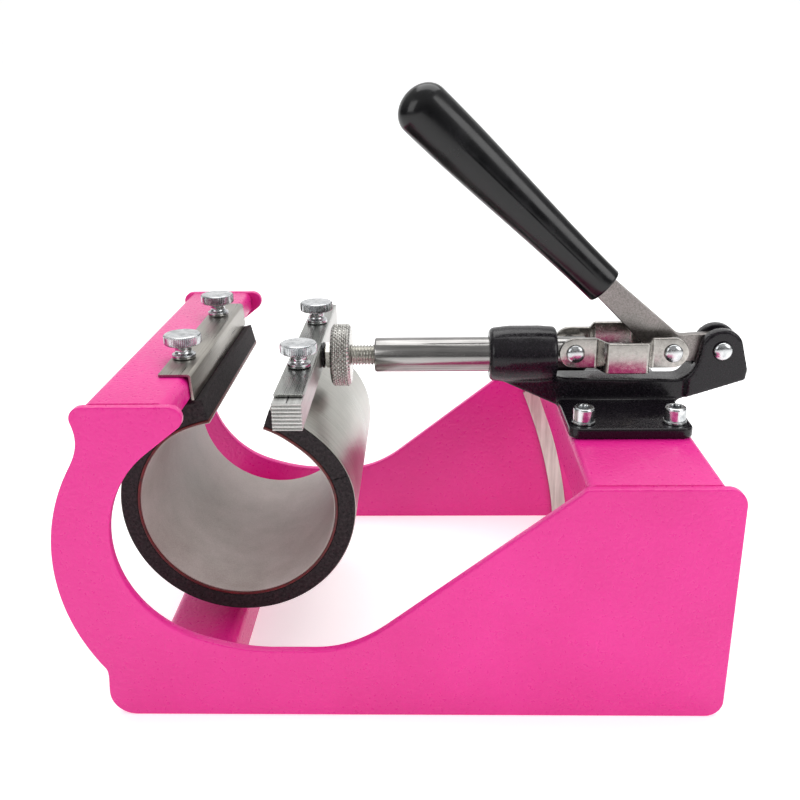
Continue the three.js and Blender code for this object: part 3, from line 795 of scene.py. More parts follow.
@dataclass(frozen=True)
class SheetRubber:
    """Thin dark-red silicone sheet with a worn, partly glossy edge."""

    name: str = "dark_red_silicone"
    dark: Triple = (0.045, 0.004, 0.004)
    pale: Triple = (0.15, 0.010, 0.010)

    def material(self) -> Material:
        """A patchy noise drives tone, gloss and a low bump.

        Returns:
            The material.
        """
        graph = Graph(self.name)
        graph.set(Specular_IOR_Level=0.5)
        patch = graph.noise(graph.place, 350.0, 4.0, 0.65)
        colour = graph.blend(graph.ramp(patch, (0.35, 0.65), (0, 1)), self.dark, self.pale)
        rough = graph.ramp(patch, (0.3, 0.7), (0.3, 0.6))
        return graph.finish(colour, rough, graph.bump(patch, 0.4, 0.1))


def made(finish: type, *values: object) -> Material:
    """A palette field: the finish's material, made when the palette is.

    Args:
        finish: The finish's class.
        *values: Its values.

    Returns:
        The field.
    """
    return field(default_factory=lambda: finish(*values).material())


@dataclass
class Palette:
    """Every finish of the press, made once and shared."""

    paint: Material = made(PowderCoat)
    sheet: Material = made(
        BrushedMetal, "brushed_sheet", (0.22, 0.205, 0.18), (0.42, 0.395, 0.355),
        (2400.0, 26.0, 2400.0),
    )
    band: Material = made(
        BrushedMetal, "satin_band", (0.32, 0.315, 0.285), (0.54, 0.53, 0.49),
        (40.0, 1800.0, 40.0), (0.26, 0.42), 0.02,
    )
    strip: Material = made(
        BrushedMetal, "pale_strip", (0.40, 0.385, 0.34), (0.66, 0.65, 0.59),
        (420.0, 900.0, 26.0), (0.3, 0.45),
    )
    cover: Material = made(
        BrushedMetal, "cover_plate", (0.17, 0.175, 0.165), (0.44, 0.445, 0.42),
        (2600.0, 20.0, 2600.0), (0.2, 0.36),
    )
    polished: Material = made(
        BrushedMetal, "ground_shaft", (0.20, 0.195, 0.19), (0.38, 0.37, 0.36),
        (26.0, 900.0, 900.0), (0.14, 0.24), 0.004,
    )
    pressed: Material = made(
        BrushedMetal, "pressed_steel", (0.26, 0.245, 0.23), (0.50, 0.48, 0.45),
        (500.0, 500.0, 500.0), (0.12, 0.3), 0.01,
    )
    lever: Material = made(
        BrushedMetal, "tumbled_steel", (0.15, 0.138, 0.13), (0.38, 0.355, 0.34),
        (1500.0, 1500.0, 1500.0), (0.28, 0.46), 0.04,
    )
    wheel: Material = made(
        BrushedMetal, "knurled_steel", (0.32, 0.31, 0.29), (0.60, 0.59, 0.56),
        (600.0, 600.0, 600.0), (0.2, 0.34),
    )
    zinc: Material = made(
        BrushedMetal, "zinc_steel", (0.36, 0.35, 0.32), (0.60, 0.59, 0.55),
        (500.0, 900.0, 900.0), (0.2, 0.36),
    )
    bar: Material = made(
        BrushedMetal, "sawn_aluminium", (0.40, 0.40, 0.385), (0.64, 0.64, 0.62),
        (2200.0, 30.0, 2200.0), (0.3, 0.5), 0.02,
    )
    chrome: Material = made(BrightPlate)
    enamel: Material = made(CastEnamel)
    vinyl: Material = made(DippedVinyl)
    sponge: Material = made(SpongeRubber)
    mat: Material = made(SatinMat)
    silicone: Material = made(SheetRubber)


# ------------------------------------------------------------------ placing


def box_mm(node: str) -> tuple[Points, Points]:
    """A CAD node's lowest and highest corners in millimetres."""
    low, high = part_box(node)
    return np.array(low) / MM, np.array(high) / MM


def middle(node: str) -> Points:
    """The middle of a CAD node's box in millimetres."""
    low, high = box_mm(node)
    return (low + high) / 2


def as_object(name: str, mesh: bpy.types.Mesh, material: Material) -> bpy.types.Object:
    """An object at the origin with a mesh and a material.

    Args:
        name: The object's name.
        mesh: Its mesh.
        material: Its finish.

    Returns:
        The object.
    """
    piece = bpy.data.objects.new(name, mesh)
    bpy.context.scene.collection.objects.link(piece)
    mesh.materials.append(material)
    return piece


def fit(
    name: str,
    surface: Surface,
    material: Material,
    body: str,
    nodes: tuple[str, ...] = (),
    sharp: float = 32.0,
) -> bpy.types.Object:
    """Makes a finished piece, rides it on its body and lets it stand for its CAD nodes.

    Args:
        name: The piece's name.
        surface: Its shape.
        material: Its finish.
        body: The CAD body that it moves with.
        nodes: The CAD nodes that it stands for.
        sharp: Edges that turn by more degrees than this stay crisp.

    Returns:
        The object.
    """
    mesh = blank_mesh(name, surface)
    tidy_mesh(mesh, sharp)
    piece = as_object(name, mesh, material)
    if body:
        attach(piece, body)
    if nodes:
        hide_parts(*nodes)
    LOG.info("%s: %d faces on %s", name, len(mesh.polygons), body or "two bodies")
    return piece


def dress(node: str, material: Material) -> None:
    """Gives a CAD node that stays in sight its finish.

    Args:
        node: The node's name.
        material: Its finish.
    """
    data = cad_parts[node].data
    data.materials.clear()
    data.materials.append(material)


# ------------------------------------------------------------------ cradle


@dataclass(frozen=True)
class Folded:
    """A folded channel: its node, how far its two flanges hang, its sheet and its outer bend."""

    node: str
    drops: Pair
    sheet: float
    bend: float


TOP_CROSSBAR = Folded("top_crossbar", (20, 9.5), 2.0, 4.5)
LOWER_CROSSBAR = Folded("lower_crossbar", (19, 19), 2.5, 5.0)
CLAMP_PLATFORM = Folded("clamp_platform", (21.5, 21.5), 2.0, 3.0)


@dataclass
class Cradle:
    """The painted frame: two side plates and three folded sheets welded between them."""

    palette: Palette
    length: float = 280.0
    back_radius: float = 85.2
    back_below_throat: float = 11.8
    neck_angle: float = 149.0
    out_angle: float = 215.4
    throat_radius: float = 49.2
    throat_from_left: float = 74.4
    throat_below_top: float = 58.2
    throat_to_floor: float = 52.3
    heel_angle: float = 250.0
    mouth_angle: float = 127.0
    slope_foot_from_throat: float = 48.5
    slope_top_from_flat: float = 3.2
    slope_pull: float = 16.0
    platform_flat: float = 62.0
    foot_set_back: float = 16.1
    foot_radius: float = 10.9
    corner: float = 7.5
    lobe_radius: float = 5.0
    lobe_right_from_throat: float = 19.9
    lobe_left_from_throat: float = 54.0
    edge: float = 0.55
    strip_from_platform: float = 13.2
    strip_below_shelf: float = 25.7
    strip_lean: float = 20.5
    strip_width: float = 8.4
    weld_gap: float = 0.28
    bead: float = 0.26
    bead_ripple: float = 0.05

    def plate_outline(self) -> Points:
        """The side plate: foot, straight base, platform end, slope, throat, lobe and round back.

        Returns:
            The plate's outline.
        """
        high = box_mm("front_side_plate")[1]
        right, top = high[0], high[2]
        left = right - self.length
        shelf = box_mm("clamp_platform")[1][2]
        flat = right - self.platform_flat
        tx, tz = left + self.throat_from_left, top - self.throat_below_top
        floor = tz - self.throat_to_floor
        bx, bz = left + self.back_radius, tz - self.back_below_throat
        foot = left + self.foot_set_back
        lobe_right, lobe_left = tx - self.lobe_right_from_throat, tx - self.lobe_left_from_throat
        lobe_z = top - self.lobe_radius
        slope_top, slope_foot = flat - self.slope_top_from_flat, tx + self.slope_foot_from_throat
        pull = self.slope_pull
        rise = pull / (slope_top - slope_foot) * (shelf - floor)
        heel = arc(tx, tz, self.throat_radius, self.heel_angle, self.heel_angle, 0)[0]
        neck = arc(bx, bz, self.back_radius, self.neck_angle, self.neck_angle, 0)[0]
        out = arc(bx, bz, self.back_radius, self.out_angle, self.out_angle, 0)[0]
        lobe_end = arc(lobe_left, lobe_z, self.lobe_radius, 200, 200, 0)[0]
        return outline(
            (foot + self.foot_radius, 0),
            arc(right - self.corner, self.corner, self.corner, -90, 0, 12),
            arc(right - self.corner, shelf - self.corner, self.corner, 0, 90, 12),
            bezier((flat + 1, shelf), (flat - 1.4, shelf), (slope_top, shelf - 2.4)),
            bezier((slope_foot + pull, floor + rise), (slope_foot, floor), (slope_foot - pull, floor)),
            bezier((tx + 14, floor), (tx, floor), tuple(heel)),
            arc(tx, tz, self.throat_radius, self.heel_angle, self.mouth_angle, 60),
            arc(lobe_right, lobe_z, self.lobe_radius, -50, 90, 14),
            arc(lobe_left, lobe_z, self.lobe_radius, 90, 200, 12),
            bezier(tuple(lobe_end), (lobe_left - 2.2, top - 14.5),
                   (neck[0] + 3.6, neck[1] + 6), tuple(neck)),
            arc(bx, bz, self.back_radius, self.neck_angle, self.out_angle, 48),
            bezier(tuple(out), (out[0] + 1.7, out[1] - 2.4),
                   (foot, self.foot_radius + 5), (foot, self.foot_radius)),
            arc(foot + self.foot_radius, self.foot_radius, self.foot_radius, 180, 270, 14),
        )

    def add_plates(self) -> None:
        """Both side plates, cut from the same outline."""
        shape = self.plate_outline()
        for node in ("front_side_plate", "rear_side_plate"):
            low, high = box_mm(node)
            fit(f"{node}_painted", slab(shape, low[1], high[1], self.edge), self.palette.paint,
                "frame", (node,))

    def add_channel(self, fold: Folded) -> None:
        """One folded channel, lengthened from its CAD node's box to meet both plates.

        Args:
            fold: The channel.
        """
        low, high = box_mm(fold.node)
        section = channel(low[0], high[0], high[2], fold.drops, fold.sheet, fold.bend)
        surface = slab(section, low[1] - self.weld_gap, high[1] + self.weld_gap, 0.2)
        fit(f"{fold.node}_painted", surface, self.palette.paint, "frame",
            (fold.node,))

    def add_weld_seams(self) -> None:
        """Thin painted weld beads where the top crossbar and the clamp platform meet a plate: a small round
        section carried along the sheet's outer line, its height rippled by the welder's steps."""
        for fold in (TOP_CROSSBAR, CLAMP_PLATFORM):
            drops, bend = fold.drops, fold.bend
            low, high = box_mm(fold.node)
            flat = np.linspace(low[0] + bend + 1, high[0] - bend - 1, 60)
            path = np.vstack([
                [low[0], high[2] - drops[0] * 0.6],
                arc(low[0] + bend, high[2] - bend, bend, 180, 90, 8),
                np.column_stack([flat, np.full(60, high[2])]),
                arc(high[0] - bend, high[2] - bend, bend, 90, 0, 8),
                [high[0], high[2] - drops[1] * 0.6],
            ])
            for end, y in (("front", low[1]), ("rear", high[1])):
                walk = np.cumsum(np.r_[0, np.linalg.norm(np.diff(path, axis=0), axis=1)])
                size = self.bead + self.bead_ripple * np.sin(walk * 2.6)
                turn = np.arange(10) / 10 * TAU
                rows = np.empty((len(path), 10, 3))
                rows[..., 0] = path[:, :1]
                rows[..., 1] = y + size[:, None] * np.cos(turn)
                rows[..., 2] = path[:, 1:] + size[:, None] * np.sin(turn)
                fit(f"{fold.node}_{end}_seam", loft(rows), self.palette.paint,
                    "frame")

    def add_guard(self) -> None:
        """The flat strip that curves up the rear plate: a quadratic Bezier curve given its width,
        with softly rounded edges."""
        low, high = box_mm("rear_guard_strip")
        shelf = box_mm("clamp_platform")
        foot = shelf[0][0] + self.strip_from_platform
        top = shelf[1][2] - self.strip_below_shelf
        path = bezier((foot, 1), (foot - 4, top / 2), (foot - self.strip_lean, top), steps=60)
        fit("rear_guard_strip_brushed", slab(thicken(path, self.strip_width), low[1], high[1], 0.45),
            self.palette.strip, "frame", ("rear_guard_strip",))

    def build(self) -> None:
        """Builds every painted sheet and the guard strip."""
        self.add_plates()
        for fold in (TOP_CROSSBAR, LOWER_CROSSBAR, CLAMP_PLATFORM):
            self.add_channel(fold)
        self.add_guard()
        self.add_weld_seams()


# ------------------------------------------------------------------ heater


@dataclass
class Heater:
    """The flexible C that wraps the mug: mat, heating layer, foam pad and outer band."""

    palette: Palette
    bore: float = 85.2
    length: float = 120.0
    left_angle: float = 103.0
    tip_angle: float = 70.0
    turn_in: float = 5.0
    turn_span: float = 50.0
    fold: float = 1.8
    fold_span: float = 34.0
    layers: float = 9.6
    split_height: float = 95.0
    mat_past_bore: float = 1.4
    jaw_gap: float = 0.3
    falling_steps: int = 75
    blend_left: float = 8.5
    blend_right: float = 38.5
    end_blend: float = 20.0
    steps: int = 180

    def centre(self) -> Pair:
        """The C's centre, from the mat's lowest and leftmost points.

        Returns:
            The centre's X and Z.
        """
        low, high = box_mm("inner_mat_fixed")
        reach = self.bore / 2 + self.mat_past_bore
        return low[0] + reach, low[2] + reach

    def run(self) -> tuple[Points, Points, Points]:
        """The heater's inner line from the fixed end round the bottom to the tip under the jaw:
        a circle whose radius eases down, by a smooth step of the angle, to clear the jaw bar.

        Returns:
            Points, unit outward directions, and how far the foam's fold moves each point in.
        """
        x, z = self.centre()
        jaw_low, _ = box_mm("jaw_bar")
        tip = math.hypot(jaw_low[0] - x, jaw_low[2] - z) - self.layers - self.jaw_gap
        degrees = np.linspace(self.left_angle, 360 + self.tip_angle, self.steps)
        angle = np.radians(degrees)
        out = np.column_stack([np.cos(angle), np.sin(angle)])
        closed = smooth_step((degrees - 360 - self.turn_in) / self.turn_span)
        radius = self.bore / 2 + (tip - self.bore / 2) * closed
        extra = self.fold * smooth_step(1 - (degrees - self.left_angle) / self.fold_span)
        return np.array([x, z]) + out * radius[:, None], out, extra

    def layer(self, low: float, high: float, folds: tuple[bool, bool]) -> tuple[Points, Points]:
        """One layer's inner and outer line between two offsets from the bore.

        Args:
            low: Inner offset.
            high: Outer offset.
            folds: Whether the inner and the outer line move in with the fold.

        Returns:
            The inner and the outer line.
        """
        points, out, extra = self.run()
        inner = low - extra * folds[0]
        outer = high - extra * folds[1]
        return points + out * inner[:, None], points + out * outer[:, None]

    def add_layer(
        self,
        name: str,
        offsets: Pair,
        reach: float,
        edge: float,
        material: Material,
        folds: tuple[bool, bool],
        skip: int = 0,
    ) -> None:
        """A layer as two pieces that meet at the split height: the C, and the end in the jaw.

        Args:
            name: The layer's name in the CAD.
            offsets: Inner and outer offset from the bore.
            reach: Half length along Y.
            edge: Edge radius.
            material: Finish.
            folds: Whether the inner and the outer line move in with the foam's fold.
            skip: Points left out at the fixed end, under the bracket.
        """
        inner, outer = self.layer(*offsets, folds)
        rising = np.arange(len(inner)) > self.falling_steps
        cut = int(np.argmax(rising & (inner[:, 1] > self.split_height)))
        for part, rows in (("wrap", slice(skip, cut + 1)), ("end", slice(cut, None))):
            shape = outline(inner[rows], outer[rows][::-1])
            node = f"{name}_{'fixed' if part == 'wrap' else 'loose'}"
            piece = fit(f"{name}_{part}", slab(shape, -reach, reach, edge), material, "", (node,))
            if part == "wrap":
                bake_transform(piece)
            else:
                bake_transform(piece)

    def build(self) -> None:
        """Builds the four layers from the mug outwards."""
        half, palette = self.length / 2, self.palette
        self.add_layer("inner_mat", (0.0, 0.5), half - 0.5, 0.15, palette.mat,
                       (True, True))
        self.add_layer("heating_layer", (0.52, 1.6), half + 0.15, 0.3, palette.silicone,
                       (True, True))
        self.add_layer("foam_pad", (1.62, 9.1), half, 0.7, palette.sponge,
                       (True, False))
        self.add_layer("outer_band", (9.12, 9.5), half - 1.2, 0.12, palette.band,
                       (False, False), 8)


# ------------------------------------------------------------------ screws and bracket


@dataclass
class ThumbScrew:
    """A thumb screw: straight-knurled head, waisted neck, collar and shank."""

    palette: Palette
    node: str
    body: str
    tall: float = 11.2
    head: float = 8.2
    teeth: int = 58
    groove: float = 0.55

    def surface(self) -> Surface:
        """The turned profile, its rim cut by grooves: the radius loses a triangle wave of the
        angle between the two rim chamfers.

        Returns:
            The surface.
        """
        low, high = box_mm(self.node)
        x, y = (low[0] + high[0]) / 2, (low[1] + high[1]) / 2
        foot = high[2] - self.tall
        head = self.head
        rim_low, rim_high = 6.9, 9.9
        rows = profile(
            (0, low[2] - foot), (2.0, low[2] - foot), (2.5, low[2] - foot + 0.6), (2.5, 0), (4.9, 0),
            arc(4.9, 0.3, 0.3, -90, 0, 3), (5.2, 1.5), arc(4.9, 1.5, 0.3, 0, 90, 3),
            bezier((4.6, 1.9), (3.7, 2.3), (3.65, 3.6), steps=6),
            bezier((3.65, 3.9), (3.7, 5.4), (5.6, 5.9), steps=8),
            (head - 0.9, 6.2),
            bezier((head - 0.7, 6.25), (head - 0.1, 6.4), (head, rim_low), steps=4),
            np.column_stack([np.full(5, head), np.linspace(rim_low, rim_high, 5)]),
            bezier((head, rim_high + 0.05), (head, 10.5), (head - 0.75, 10.75), steps=4),
            (head - 1.1, 10.85), (head - 1.5, 10.85), (head - 2.2, 10.8), (3.0, 10.95), (0, 11.0),
        )
        angle = np.arange(self.teeth * 4) / (self.teeth * 4) * TAU
        wave = triangle_wave(angle / TAU * self.teeth)
        on_rim = np.clip(np.minimum(rows[:, 1] - 6.25, 10.7 - rows[:, 1]) / 0.5, 0, 1)
        on_rim *= rows[:, 0] > head - 0.9
        radius = rows[:, :1] - self.groove * on_rim[:, None] * (1 - wave)
        return wrapped(radius, rows[:, 1], angle, (x, y, foot), Axis.Z)

    def build(self) -> None:
        """Builds the screw."""
        fit(f"{self.node}_knurled", self.surface(), self.palette.chrome, self.body,
            (self.node,), 40)


@dataclass
class HeaterBracket:
    """The stainless angle that clamps the heater's fixed end to the crossbar, with its screws."""

    palette: Palette
    sheet: float = 1.2
    width: float = 13.8
    bend: float = 1.7

    def build(self) -> None:
        """The folded angle, both thumb screws and the weld nuts under the crossbar."""
        low, high = box_mm("heater_bracket")
        right = low[0] + self.width
        path = np.vstack([
            [low[0], high[2]], [low[0] + 4, high[2]],
            arc(right - self.bend, high[2] - self.bend, self.bend, 90, 0, 8),
            [right + 0.3, high[2] - 8], [high[0], low[2]],
        ])
        section = thicken(path, self.sheet)
        fit("heater_bracket_brushed", slab(section, low[1], high[1], 0.2), self.palette.sheet,
            "frame", ("heater_bracket",))
        for row in ("front", "rear"):
            ThumbScrew(self.palette, f"bracket_{row}_thumb_screw", f"bracket_{row}_thumb").build()
            dress(f"crossbar_{row}_weld_nut", self.palette.zinc)


@dataclass
class Jaw:
    """The bar that pulls the heater's loose end: bar, cover plate, washer and two screws."""

    palette: Palette
    ridges: int = 7
    ridge_depth: float = 0.5
    washer_bore: float = 5.15
    washer_rim: float = 6.2
    washer_edge: float = 0.3

    def bar_outline(self) -> Points:
        """The bar along its length: a long rectangle whose two ends are ridged by a raised cosine.

        Returns:
            The outline.
        """
        low, high = box_mm("jaw_bar")
        rise = np.linspace(low[2] + 0.3, high[2] - 0.3, self.ridges * 12 + 1)
        phase = (rise - rise[0]) / (rise[-1] - rise[0]) * self.ridges
        dip = self.ridge_depth * (0.5 - 0.5 * np.cos(TAU * phase)) ** 3
        front = np.column_stack([low[1] + dip, rise])
        rear = np.column_stack([high[1] - dip, rise])
        return outline((low[1] + 0.3, low[2]), (high[1] - 0.3, low[2]), rear,
                       (high[1] - 0.3, high[2]), (low[1] + 0.3, high[2]), front[::-1])

    def build(self) -> None:
        """Builds the bar with its scribed line, the cover plate, the washer and the screws."""
        low, high = box_mm("jaw_bar")
        fit("jaw_bar_sawn", slab(self.bar_outline(), low[0], high[0], 0.3, Plane.YZ), self.palette.bar,
            "jaw", ("jaw_bar",))
        mid = (low[0] + high[0]) / 2
        line = rounded_rectangle(mid - 0.22, mid + 0.22, low[1] + 0.6, high[1] - 0.6, 0.2, 2)
        fit("jaw_bar_scribed_line", slab(line, high[2] - 0.3, high[2] + 0.05, 0.02, Plane.XY, 1),
            self.palette.enamel, "jaw")
        clow, chigh = box_mm("jaw_cover_plate")
        plan = rounded_rectangle(clow[0], chigh[0], clow[1], chigh[1], 0.8, 4)
        fit("jaw_cover_plate_brushed", slab(plan, clow[2], chigh[2], 0.25, Plane.XY), self.palette.cover,
            "jaw", ("jaw_cover_plate",))
        wlow, whigh = box_mm("jaw_washer")
        centre = middle("jaw_washer")
        bore, rim, edge = self.washer_bore, self.washer_rim, self.washer_edge
        ring = profile((bore, wlow[0]), (rim - edge, wlow[0]), (rim, wlow[0] + edge),
                       (rim, whigh[0] - edge), (rim - edge, whigh[0]), (bore, whigh[0]),
                       (bore, wlow[0]))
        washer = turned(ring, (0, centre[1], centre[2]), Axis.X, 48)
        fit("jaw_washer_black", washer, self.palette.enamel, "jaw",
            ("jaw_washer",))
        for row in ("front", "rear"):
            ThumbScrew(self.palette, f"jaw_{row}_thumb_screw", f"jaw_{row}_thumb").build()


# ------------------------------------------------------------------ spindle


@dataclass
class Spindle:
    """The threaded spindle and the knurled wheel that turns it."""

    palette: Palette
    pitch: float = 1.5
    depth: float = 0.85
    teeth: int = 46
    knurl: float = 0.75
    nose: float = 3.5
    hub: float = 3.0

    def add_thread(self) -> None:
        """The screw: the radius falls by a triangle wave of height over pitch less angle."""
        low, high = box_mm("spindle")
        centre = middle("spindle")
        radius = (high[2] - low[2]) / 2
        height = np.arange(low[0], high[0], self.pitch / 10)
        shoulder = box_mm("jaw_bar")[1][0] + 0.3
        angle = np.arange(48) / 48 * TAU
        wave = triangle_wave(height[:, None] / self.pitch - angle[None, :] / TAU)
        ends = np.clip(np.minimum(height - low[0], high[0] - height) / 1.2, 0, 1)[:, None]
        grid = radius - self.depth * np.clip(1.25 * wave - 0.12, 0, 1) - (1 - ends) * 1.0
        grid = np.where(height[:, None] < shoulder, np.minimum(grid, self.nose), grid)
        surface = wrapped(grid, height, angle, (0, centre[1], centre[2]), Axis.X)
        fit("spindle_threaded", surface, self.palette.zinc, "spindle", ("spindle",), 75)

    def add_wheel(self) -> None:
        """The wheel: the rim's radius falls by the lesser of two crossing triangle waves, and
        a hexagonal hub stands on its jaw side."""
        low, high = box_mm("knurled_wheel")
        centre = middle("knurled_wheel")
        rim = (high[2] - low[2]) / 2
        left = low[0] + self.hub
        width = high[0] - left
        angle = np.arange(self.teeth * 7) / (self.teeth * 7) * TAU
        band = np.linspace(1.2, width - 1.2, 40)
        rows = profile((5.2, 0), (rim - 1.9, 0), (rim - 1.4, 0.15),
                       np.column_stack([np.full(40, rim), band]),
                       (rim - 1.4, width - 0.15), (rim - 1.9, width), (5.2, width))
        turn = angle[None, :] / TAU * self.teeth
        slant = rows[:, 1:] / 2.0
        cut = np.maximum(triangle_wave(turn + slant), triangle_wave(turn - slant))
        on_rim = (rows[:, 0] > rim - 0.1)[:, None]
        radius = rows[:, :1] - self.knurl * on_rim * np.clip(cut * 1.6 - 0.6, 0, 1)
        wheel = wrapped(radius, rows[:, 1], angle, (left, centre[1], centre[2]), Axis.X)
        turn = np.arange(96) / 96 * TAU
        hub = profile((5.2, -self.hub), (5.0, -self.hub), (5.5, 0.3 - self.hub), (5.5, 0.3),
                      (5.2, 0.3))
        hexagon = hexagon_factor(turn)[None, :]
        shape = np.where(hub[:, :1] > 5.3, hexagon, 1.0)
        shape = np.where(np.arange(len(hub))[:, None] == 1, np.minimum(hexagon, 1.08), shape)
        nut = wrapped(hub[:, :1] * shape, hub[:, 1], turn, (left, centre[1], centre[2]), Axis.X)
        fit("spindle_knurled_wheel", wheel, self.palette.wheel, "spindle",
            ("knurled_wheel",), 50)
        fit("spindle_hub", nut, self.palette.zinc, "spindle")

    def build(self) -> None:
        """Builds the thread, the wheel and its hub."""
        self.add_thread()
        self.add_wheel()


# ------------------------------------------------------------------ toggle clamp


@dataclass
class ToggleClamp:
    """The push-pull clamp: cast body, plunger, links, pins and flange fasteners."""

    palette: Palette
    link_length: float = 45.3
    link_half: float = 7.2
    link_sheet: float = 2.5
    joggle: float = 9.0
    joggle_foot: float = 9.0
    joggle_ramp: float = 5.0
    link_edge: float = 0.55
    rivet_head: float = 4.3
    rivet_dome: float = 2.1
    rivet_rim: float = 0.35
    rivet_shank: float = 3.2
    rivet_stub: float = 2.8
    rivet_depth: float = 6.0

    def add_plunger(self) -> None:
        """The ground shaft: a cylinder with a chamfered nose."""
        low, high = box_mm("plunger")
        centre = middle("plunger")
        radius = (high[2] - low[2]) / 2
        rows = profile((0, low[0] + 0.6), (4.9, low[0] + 0.6), (5.3, low[0]), (radius - 0.9, low[0]),
                       (radius - 0.35, low[0] + 0.25), (radius, low[0] + 0.9),
                       (radius, low[0] + 30), (radius, high[0] - 2), (radius - 2, high[0]),
                       (0, high[0]))
        fit("plunger_ground", turned(rows, (0, centre[1], centre[2]), Axis.X, 96), self.palette.polished,
            "plunger", ("plunger",))

    def add_body(self) -> None:
        """The casting: the CAD solid remeshed fine and relaxed, so that its corners round over
        as a sand-cast part's do."""
        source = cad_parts["clamp_body"].data
        mesh = source.copy()
        mesh.name = "clamp_body_cast"
        bm = bmesh.new()
        bm.from_mesh(mesh)
        bmesh.ops.remove_doubles(bm, verts=bm.verts, dist=1e-6)
        bm.to_mesh(mesh)
        bm.free()
        mesh.materials.clear()
        piece = as_object("clamp_body_cast", mesh, self.palette.enamel)
        remesh = piece.modifiers.new("skin", "REMESH")
        remesh.mode = "VOXEL"
        remesh.voxel_size = 0.75 * MM
        relax = piece.modifiers.new("relax", "SMOOTH")
        relax.factor = 0.5
        relax.iterations = 5
        graph = bpy.context.evaluated_depsgraph_get()
        made = bpy.data.meshes.new_from_object(piece.evaluated_get(graph))
        piece.modifiers.clear()
        piece.data = made
        made.name = "clamp_body_cast"
        made.shade_smooth()
        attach(piece, "frame")
        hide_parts("clamp_body")
        LOG.info("clamp_body_cast: %d faces on frame", len(made.polygons))

    def link_surface(self, side: int) -> Surface:
        """A joggled link: rounded rectangular sections carried along X, their height following
        the round eyes and their place across following the joggle's smooth step.

        Args:
            side: +1 for the rear link, -1 for the front one.

        Returns:
            The surface.
        """
        low, high = box_mm("rear_link")
        pin = low[0] + self.link_half
        z = (low[2] + high[2]) / 2
        inner = low[1]
        turn = np.linspace(0, math.pi / 2, 14)
        left_x = pin - self.link_half * np.cos(turn)
        right_x = pin + self.link_length + self.link_half * np.sin(turn)
        x = np.concatenate([left_x, np.linspace(pin, pin + self.link_length, 122)[1:-1], right_x])
        half = self.link_half * np.concatenate([np.sin(turn), np.ones(120), np.cos(turn)])
        rise = smooth_step((x - pin - self.joggle_foot) / self.joggle_ramp)
        fall = smooth_step((pin + self.link_length - self.joggle_foot - x) / self.joggle_ramp)
        step = np.minimum(rise, fall)
        edge = self.link_edge
        section = rounded_rectangle(-1, 1, 0, self.link_sheet, edge, 4)
        across, depth = section[:, 0], section[:, 1]
        rows = np.empty((len(x), len(section), 3))
        rows[..., 0] = x[:, None]
        rows[..., 1] = side * (inner + self.joggle * step[:, None] + depth[None, :])
        middle_depth = self.link_sheet / 2
        past = np.maximum(np.abs(depth - middle_depth) - (middle_depth - edge), 0)
        shrink = edge - np.sqrt(np.maximum(edge**2 - past**2, 0))
        reach = np.maximum(half[:, None] - shrink[None, :], 0) * np.sign(across)[None, :]
        rows[..., 2] = z + reach
        return loft(rows)

    def rivet(self, node: str, name: str, sides: tuple[int, ...], body: str) -> None:
        """A rivet with domed heads: a quarter ellipse turned over a short upright rim.

        Args:
            node: Its CAD node.
            name: The piece's name.
            sides: +1 and -1 for the ends that have a head.
            body: The body that it moves with.
        """
        low, high = box_mm(node)
        centre = middle(node)
        dome, head, shank, rim = self.rivet_dome, self.rivet_head, self.rivet_shank, self.rivet_rim
        turn = np.linspace(0, math.pi / 2, 10)
        cap = np.column_stack([head * np.cos(turn), rim + (dome - rim) * np.sin(turn)])
        for side in sides:
            face = (high[1] - dome) if side > 0 else -(low[1] + dome)
            foot = max(-face, -self.rivet_depth) if len(sides) == 2 else -self.rivet_stub
            rows = profile((0, foot), (shank, foot), (shank, 0), (head, 0), cap[:-1], (0, dome))
            rows = np.column_stack([rows[:, 0], side * (face + rows[:, 1])])
            label = name if len(sides) == 1 else f"{name}_{'rear' if side > 0 else 'front'}_head"
            nodes = (node,) if side == sides[0] else ()
            fit(label, turned(rows, (centre[0], 0, centre[2]), Axis.Y, 48), self.palette.chrome,
                body, nodes)

    def add_links(self) -> None:
        """Both links with their pins and rivets."""
        for side, row in ((-1, "front"), (1, "rear")):
            fit(f"{row}_link_pressed", self.link_surface(side), self.palette.pressed,
                "links", (f"{row}_link",), 50)
            self.rivet(f"{row}_link_rivet", f"{row}_link_rivet_domed", (side,), "links")
        self.rivet("plunger_pin", "plunger_pin_domed", (-1, 1), "plunger")
        self.rivet("pivot_pin", "pivot_pin_domed", (-1, 1), "frame")

